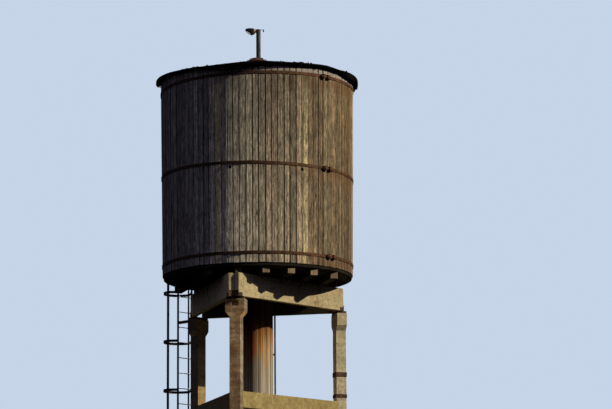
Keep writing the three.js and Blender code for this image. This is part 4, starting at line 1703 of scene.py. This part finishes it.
@dataclass
class Hoops:
    """Three flat steel hoops with their lugs, bolts and nuts.

    Each wave is given as its swings round the tower and their height.
    """

    wall: TankWall
    low_azimuth: float = 14.0
    sides: int = 192
    band_height: float = 0.056
    band_thickness: float = 0.006
    band_easing: float = 0.001
    band_crease: float = 50.0
    slack: float = 0.0012
    waves: tuple[Pair, ...] = ((7.0, 0.0016), (17.0, 0.001))
    lug_size: Triple = (0.055, 0.062, 0.078)
    lug_spacing: float = 0.108
    lug_easing: float = 0.006
    foot_length: float = 0.7
    foot_share: Triple = (0.25, 1.0, 0.8)
    bolt_line: float = 0.55
    bolt_radius: float = 0.009
    bolt_length: float = 0.27
    washer_radius: float = 0.02125
    washer_sides: int = 16
    washer_end: float = 0.004
    nut_radius: float = 0.017
    nut_sides: int = 6
    nut_end: float = 0.02
    nut_easing: float = 0.0015
    places: tuple[Hoop, ...] = (
        Hoop("lower", height=9.190, tilt=0.0, lug_azimuth=332.6),
        Hoop("middle", height=10.876, tilt=1.0, lug_azimuth=329.4),
        Hoop("upper", height=12.587, tilt=-1.0, lug_azimuth=327.9),
    )

    def height_at(self, hoop: Hoop, azimuth: np.ndarray | float) -> np.ndarray | float:
        """Returns the height of a hoop's middle at one or more azimuths."""
        reach = self.wall.radius(hoop.height) * np.cos(np.radians(azimuth - self.low_azimuth))
        return hoop.height - math.tan(math.radians(hoop.tilt)) * reach

    def band(self, hoop: Hoop) -> Object:
        """Models a hoop's flat band, in its place round the boards."""
        band = Bench.tube("band", self.sides, self.band_height)
        Bench.modify(band, "SOLIDIFY", thickness=self.band_thickness, offset=1.0)
        Bench.ease(band, self.band_easing, angle=self.band_crease)
        x, y, z = Bench.points(band).T
        azimuth = np.arctan2(y, x)
        (slow, high), (fast, low) = self.waves
        wave = high * np.sin(azimuth * slow + hoop.height) + low * np.sin(azimuth * fast)
        height = self.height_at(hoop, np.degrees(azimuth)) + z + wave
        proud = np.hypot(x, y) - 1.0
        Bench.move_round(band, azimuth, self.wall.radius(height) + self.slack + proud, height)
        return band

    def lug(self) -> Object:
        """Models one cast lug, its back at x = 0 and the foot that spreads along the band at +Y."""
        deep, long, high = self.lug_size
        lug = Bench.box("lug", (deep, long, high), (deep / 2, 0.0, 0.0))
        with Bench.editing(lug):
            Bench.pick(lug, lambda centre, normal: normal.y > Bench.square_on)
            Bench.extrude((0.0, long * self.foot_length, 0.0))
            end = (0.0, long * (0.5 + self.foot_length), 0.0)
            bpy.ops.transform.resize(value=self.foot_share, center_override=end)
        Bench.ease(lug, self.lug_easing, 2)
        return lug

    def fixing(self, hoop: Hoop) -> list[Object]:
        """Models a pair of lugs with the bolt that draws them together, in their places."""
        lug = self.lug()
        half = self.lug_spacing / 2
        aside = Matrix.Translation((0.0, half, 0.0))
        parts = [Bench.copy(lug, aside), Bench.copy(lug, Matrix.Rotation(math.pi, 4, "X") @ aside)]
        bpy.data.objects.remove(lug)
        line = self.lug_size[0] * self.bolt_line
        end = self.bolt_length / 2
        parts.append(Bench.rod("bolt", self.bolt_radius, (line, -end, 0.0), (line, end, 0.0)))
        for side in (-1, 1):
            face = side * (half + self.lug_size[1] / 2)
            ends = [(line, face + side * out, 0.0) for out in (0.0, self.washer_end, self.nut_end)]
            washer = Bench.rod("washer", self.washer_radius, ends[0], ends[1], self.washer_sides)
            nut = Bench.rod("nut", self.nut_radius, ends[1], ends[2], self.nut_sides)
            Bench.ease(nut, self.nut_easing)
            parts += [washer, nut]
        height = self.height_at(hoop, hoop.lug_azimuth)
        back = self.wall.radius(height) + self.slack + self.band_thickness
        for part in parts:
            part.data.transform(Bench.around(hoop.lug_azimuth, back, height))
        return parts

    def build(self) -> None:
        """Builds the three hoops."""
        for hoop in self.places:
            piece = Bench.joined(f"hoop_{hoop.name}_band", [self.band(hoop), *self.fixing(hoop)])
            Bench.smooth(piece)
            Bench.deliver(piece, Palette.hoops, f"hoop_{hoop.name}")


# Roof


@dataclass
class Roof:
    """The felt cone, its turned-down ragged edge and the sheet at the apex.

    Each flutter is given as its depth, its swings round the tower and where they start.
    """

    apex: float = 13.28
    pitch: float = 0.245
    radius: float = 1.950
    outer: float = 1.9578
    strips: int = 18
    strip_play: float = 2.0
    overlap: float = 0.08
    inner: float = 0.117
    strip_points: tuple[int, int] = (9, 14)
    strip_crease: float = 50.0
    lap: float = 0.010
    lap_share: Pair = (0.3, 0.7)
    ripple: float = 0.003
    ripple_waves: Pair = (9.0, 17.0)
    ripple_across: float = 3.0
    bed: float = 0.030
    apex_drop: float = 0.03
    sheet: float = 0.005
    apron_sides: int = 288
    apron_cuts: tuple[float, ...] = (-0.3, -0.1, 0.1, 0.3, 0.4)
    apron_below: float = 0.002
    least_apron: float = 0.014
    apron_crease: float = 60.0
    top_tuck: float = 0.02
    tuck_share: float = 0.1
    flutter: tuple[Triple, ...] = ((0.0022, 23.0, 0.0), (0.0018, 41.0, 1.0))
    torn: float = 0.022
    torn_step: float = 1.6
    tabs: int = 54
    tab_azimuths: Pair = (236.0, 352.0)
    tab_width: Pair = (0.04, 0.24)
    tab_height: Pair = (0.025, 0.07)
    tab_lean: Pair = (-0.9, 0.1)
    tab_tear: Pair = (0.35, 1.0)
    tab_waves: Pair = (3.0, 9.0)
    tab_points: tuple[int, int] = (5, 3)
    tab_curl: float = 0.006
    tab_set_back: float = 0.012
    tab_foot_back: float = 0.02
    tab_bedded: float = 0.012
    tab_below: float = 0.008
    tab_sheet: float = 0.004
    flashing_radius: float = 0.195
    flashing_rim: Pair = (13.180, 13.232)
    rim_width: float = 0.01
    flashing_easing: float = 0.002
    seams: int = 8
    seam_size: Triple = (0.08, 0.008, 0.012)
    seam_distance: float = 0.150
    first_seam: float = 10.0
    seam_below: float = 0.022
    seed: int = 41
    tucks: Profile = Profile((
        (0.0, 0.0), (150.0, 0.0), (165.0, 0.04), (190.0, 0.02), (205.0, 0.0), (225.0, 0.03),
        (270.0, 0.03), (288.0, 0.062), (335.0, 0.062), (350.0, 0.03),
    ))
    missing: Profile = Profile((
        (0.0, 0.0), (168.0, 0.0), (173.0, 0.075), (186.0, 0.075), (191.0, 0.0),
    ))
    apron_foot: Profile = Profile((
        (0.0, 12.72), (14.0, 12.73), (30.0, 12.745), (45.0, 12.70), (60.0, 12.64), (95.0, 12.67),
        (130.0, 12.70), (152.0, 12.775), (195.0, 12.775), (210.0, 12.765), (224.0, 12.765),
        (237.0, 12.752), (249.0, 12.74), (255.0, 12.70), (260.0, 12.655), (266.0, 12.64),
        (280.0, 12.65), (286.0, 12.70), (303.0, 12.725), (321.0, 12.74), (331.0, 12.762),
        (339.0, 12.735), (349.0, 12.70),
    ))

    @property
    def eave(self) -> float:
        """Height of the true cone at the eave."""
        return self.apex - self.pitch * self.radius

    def strip(self, first: float, last: float, chance: random.Random) -> Object:
        """Models one tapering strip of felt, one side lapped over the next strip.

        Args:
            first: Azimuth where it starts, in degrees.
            last: Azimuth where it ends.
            chance: Source of its unevenness.

        Returns:
            The strip, in its place.
        """
        strip = Bench.sheet("felt_strip", *self.strip_points)
        round_share, out_share = Bench.points(strip).T[:2] + 0.5
        degrees = first + (last + (last - first) * self.overlap - first) * round_share
        reach = self.radius - self.missing.at(degrees) - self.inner
        radius = self.inner + reach * out_share
        lift = self.lap * (chance.uniform(*self.lap_share) * (1.0 - round_share) - 1.0)
        ripple = self.ripple * np.sin(out_share * chance.uniform(*self.ripple_waves))
        ripple = ripple * np.sin(round_share * self.ripple_across)
        drop = EAVE_SAG.at(degrees) * out_share + self.apex_drop * (1.0 - out_share)
        high = self.apex - self.pitch * radius + lift + ripple - drop
        Bench.move_round(strip, np.radians(degrees), radius, high)
        Bench.modify(strip, "SOLIDIFY", thickness=self.bed, offset=-1.0)
        return strip

    def build_strips(self) -> None:
        """Lays the strips round the cone."""
        chance = random.Random(self.seed)
        step, play = 360.0 / self.strips, self.strip_play
        strips = []
        for number in range(self.strips):
            first = number * step + chance.uniform(-play, play)
            strips.append(self.strip(first, (number + 1) * step + play, chance))
        piece = Bench.joined("felt_strips", strips)
        Bench.smooth(piece, self.strip_crease)
        Bench.deliver(piece, Palette.felt, "roof_cone")

    def torn_foot(self, degrees: np.ndarray) -> np.ndarray:
        """Returns the height of the apron's torn lower edge at azimuths in degrees."""
        knots = np.arange(0.0, 360.0, self.torn_step)
        torn = np.random.default_rng(self.seed).uniform(-self.torn, self.torn, knots.size)
        return self.apron_foot.at(degrees) + np.interp(degrees, knots, torn, period=360.0)

    def build_apron(self) -> None:
        """Hangs the ragged, turned-down edge of the felt."""
        apron = Bench.tube("felt_apron", self.apron_sides, 1.0)
        Bench.cut(apron, Axis.Z, self.apron_cuts)
        x, y, z = Bench.points(apron).T
        azimuth = np.arctan2(y, x)
        degrees = np.degrees(azimuth)
        share = z + 0.5
        top = self.eave - self.apron_below - EAVE_SAG.at(degrees)
        bottom = np.minimum(self.torn_foot(degrees), top - self.least_apron)
        flutter = sum(wide * np.sin(azimuth * waves + start) for wide, waves, start in self.flutter)
        hang = (flutter - self.tucks.at(degrees)) * (1.0 - share)
        tuck = self.top_tuck * np.clip(1.0 - (1.0 - share) / self.tuck_share, 0.0, 1.0)
        radius = self.outer - self.missing.at(degrees) + hang - tuck
        Bench.move_round(apron, azimuth, radius, bottom + (top - bottom) * share)
        Bench.modify(apron, "SOLIDIFY", thickness=self.sheet, offset=-1.0)
        Bench.smooth(apron, self.apron_crease)
        Bench.deliver(apron, Palette.felt, "felt_skirt")

    def tab(self, azimuth: float, chance: random.Random) -> Object:
        """Models one torn tab of felt that stands up from the eave.

        Args:
            azimuth: Where it stands.
            chance: Source of its size and curl.

        Returns:
            The tab, in its place.
        """
        tab = Bench.sheet("felt_tab", *self.tab_points)
        along, up = Bench.points(tab).T[:2]
        up = up + 0.5
        wide, high = chance.uniform(*self.tab_width), chance.uniform(*self.tab_height)
        lean = chance.uniform(*self.tab_lean)
        torn = np.array([chance.uniform(*self.tab_tear) for _ in along])
        rise = high * up * torn
        curl = self.tab_curl * np.sin(along * chance.uniform(*self.tab_waves))
        out = rise * lean + curl - self.tab_set_back - self.tab_foot_back * (1.0 - up)
        Bench.move_points(tab, out, along * wide, rise - self.tab_bedded * (1.0 - up))
        Bench.modify(tab, "SOLIDIFY", thickness=self.tab_sheet, offset=0.0)
        foot = self.eave - float(EAVE_SAG.at(azimuth)) - self.tab_below
        tab.data.transform(Bench.around(azimuth, self.radius, foot))
        return tab

    def build_tabs(self) -> None:
        """Scatters torn tabs along the weather side of the eave."""
        chance = random.Random(self.seed + 1)
        tabs = [self.tab(chance.uniform(*self.tab_azimuths), chance) for _ in range(self.tabs)]
        Bench.deliver(Bench.joined("felt_tabs", tabs), Palette.felt)

    def build_flashing(self) -> None:
        """Folds the low sheet at the apex, with a turned-down rim and a seam between its leaves."""
        cap = Bench.from_node("apex_cap", "apex_flashing")
        x, y, z = Bench.points(cap).T
        rim = np.hypot(x, y) > self.flashing_radius - self.rim_width
        low, high = self.flashing_rim
        z = np.where(rim, np.where(z < z[rim].mean(), low, high), z)
        Bench.move_points(cap, x, y, z)
        Bench.ease(cap, self.flashing_easing)
        parts = [cap]
        lean = Matrix.Rotation(math.atan(self.pitch), 4, "Y")
        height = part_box("apex_cap")[1].z - self.seam_below
        for number in range(self.seams):
            seam = Bench.box("seam", self.seam_size)
            Bench.ease(seam, self.flashing_easing)
            azimuth = 360.0 / self.seams * number + self.first_seam
            seam.data.transform(Bench.around(azimuth, self.seam_distance, height) @ lean)
            parts.append(seam)
        Bench.deliver(Bench.joined("apex_flashing", parts), Palette.cap, "apex_cap")

    def build(self) -> None:
        """Builds felt and flashing."""
        self.build_strips()
        self.build_apron()
        self.build_tabs()
        self.build_flashing()


# Lamp


@dataclass
class Lamp:
    """The post on the apex, its light sensor, and the lamp head."""

    crease: float = 50.0
    shading: float = 40.0

    def build(self) -> None:
        """Eases and dresses the post, the head and the lens."""
        for node, ending, finish, width in (
            ("lamp_post", "tube", Palette.post, 0.002),
            ("lamp_head", "casting", Palette.housing, 0.006),
            ("lamp_lens", "moulding", Palette.lens, 0.003),
        ):
            Bench.retouch(node, ending, finish, width, 2, self.crease, self.shading)


# Ladder


@dataclass
class Ladder:
    """The ladder outside the left column, its cage and brackets."""

    kept: tuple[str, ...] = ("ladder", "cage_back", "cage_side_1", "cage_side_2")
    brackets: tuple[str, ...] = ("low", "head", "wall", "eave")
    easing: float = 0.0015

    def build(self) -> None:
        """Dresses the ladder and its cage as they are, and eases the brackets."""
        for node in self.kept:
            Bench.dress_node(node, Palette.ladder)
        for side in self.brackets:
            Bench.retouch(f"bracket_{side}", "arms", Palette.ladder, self.easing)


# Camera, light and floor


@dataclass
class Viewpoint:
    """The camera, as fitted to the tank's rims, the hoops and the beams."""

    place: Triple = (11.66, -45.86, 1.511)
    bearing: float = 14.265
    yaw: float = 1.1287
    pitch: float = 10.657
    roll: float = -0.437
    lens: float = 147.364
    sensor: float = 36.0
    furthest: float = 1000.0

    def build(self) -> None:
        """Sets the scene's camera."""
        yaw, pitch, roll = (math.radians(angle) for angle in (self.yaw, self.pitch, self.roll))
        turn = Matrix.Rotation(math.radians(self.bearing), 3, "Z")
        right = turn @ Vector((math.cos(yaw), -math.sin(yaw), 0.0))
        flat = math.cos(pitch)
        ahead = turn @ Vector((math.sin(yaw) * flat, math.cos(yaw) * flat, math.sin(pitch)))
        over = right.cross(ahead)
        level = math.cos(roll) * right + math.sin(roll) * over
        upright = math.cos(roll) * over - math.sin(roll) * right
        data = bpy.data.cameras.new("photo_camera")
        data.lens = self.lens
        data.sensor_width = self.sensor
        data.sensor_fit = "HORIZONTAL"
        data.clip_end = self.furthest
        camera = bpy.data.objects.new("photo_camera", data)
        bpy.context.collection.objects.link(camera)
        axes = Matrix((level, upright, -ahead)).transposed().to_4x4()
        camera.matrix_world = Matrix.Translation(self.place) @ axes
        bpy.context.scene.camera = camera


@dataclass(frozen=True)
class DistantLight:
    """One distant light: where it stands and how wide it looks from the tower, in degrees."""

    name: str
    azimuth: float
    elevation: float
    width: float
    strength: float
    colour: Colour
    distance: float = 60.0

    def build(self) -> None:
        """Adds the light."""
        data = bpy.data.lights.new(self.name, "SUN")
        data.energy = self.strength
        data.color = self.colour
        data.angle = math.radians(self.width)
        light = bpy.data.objects.new(self.name, data)
        bpy.context.collection.objects.link(light)
        turn, rise = math.radians(self.azimuth), math.radians(self.elevation)
        flat = math.cos(rise)
        toward = Vector((flat * math.cos(turn), flat * math.sin(turn), math.sin(rise)))
        aim = toward.to_track_quat("Z", "Y").to_matrix().to_4x4()
        light.matrix_world = Matrix.Translation(toward * self.distance) @ aim


@dataclass
class Studio:
    """A low warm key, a soft light from behind, a faint sky and a pale floor."""

    lights: tuple[DistantLight, ...] = (
        DistantLight(
            "key", azimuth=351.7, elevation=26.8, width=0.7, strength=3.1,
            colour=(1.0, 0.84, 0.56),
        ),
        DistantLight(
            "back", azimuth=105.0, elevation=30.0, width=25.0, strength=1.6,
            colour=(0.92, 0.95, 1.0),
        ),
    )
    sky_colour: Colour = (0.150, 0.140, 0.185)
    sky_rise: Pair = (-0.02, 0.55)
    ground_glow: Colour = (0.004, 0.0035, 0.003)
    backdrop_colour: Colour = (0.56, 0.66, 0.80)
    floor_colour: Colour = (0.72, 0.71, 0.68)
    floor_clouds: Clouds = Clouds(0.4, 3.0, 0.6)
    floor_tones: Span = (0.3, 0.7, 0.96, 1.04)
    floor_roughness: float = 0.9
    floor_size: float = 500.0
    floor_depth: float = 0.001

    def sky(self) -> None:
        """Sets a faint sky that lights the tower and a pale backdrop that the camera sees."""
        world = bpy.data.worlds.new("studio")
        world.use_nodes = True
        w = Wiring(world.node_tree)
        seen = w.node("ShaderNodeLightPath").outputs["Is Camera Ray"]
        rise = w.part(w.node("ShaderNodeTexCoord").outputs["Generated"], Axis.Z)
        glow = w.mixed(w.spread(rise, *self.sky_rise), self.ground_glow, self.sky_colour)
        light = w.mixed(seen, glow, self.backdrop_colour)
        w.fill(world.node_tree.nodes["Background"], {"Color": light})
        bpy.context.scene.world = world

    def floor(self) -> None:
        """Lays the pale floor."""
        Bench.hold()
        place = (0.0, 0.0, -self.floor_depth)
        bpy.ops.mesh.primitive_plane_add(size=self.floor_size, location=place)
        floor = Bench.named("studio_floor")
        material = bpy.data.materials.new("Pale floor")
        material.use_nodes = True
        w = Wiring(material.node_tree)
        clouds = w.clouds(w.object_place(), self.floor_clouds)
        colour = w.toned(self.floor_colour, clouds, self.floor_tones)
        shader = material.node_tree.nodes["Principled BSDF"]
        w.fill(shader, {"Base Color": colour, "Roughness": self.floor_roughness})
        floor.data.materials.append(material)
        floor.visible_diffuse = False
        floor.visible_glossy = False

    def build(self) -> None:
        """Builds the lights, the sky and the floor."""
        for light in self.lights:
            light.build()
        self.sky()
        self.floor()
        bpy.context.scene.view_settings.view_transform = "Standard"


def main() -> None:
    """Builds the view, then the tower from the ground upwards."""
    Viewpoint().build()
    Studio().build()
    wall = TankWall()
    for assembly in (
        ConcreteFrame(), Riser(), Platform(), wall, Hoops(wall), Roof(), Lamp(), Ladder(),
    ):
        assembly.build()
        log.info("built %s", type(assembly).__name__)


if __name__ == "__main__":
    main()
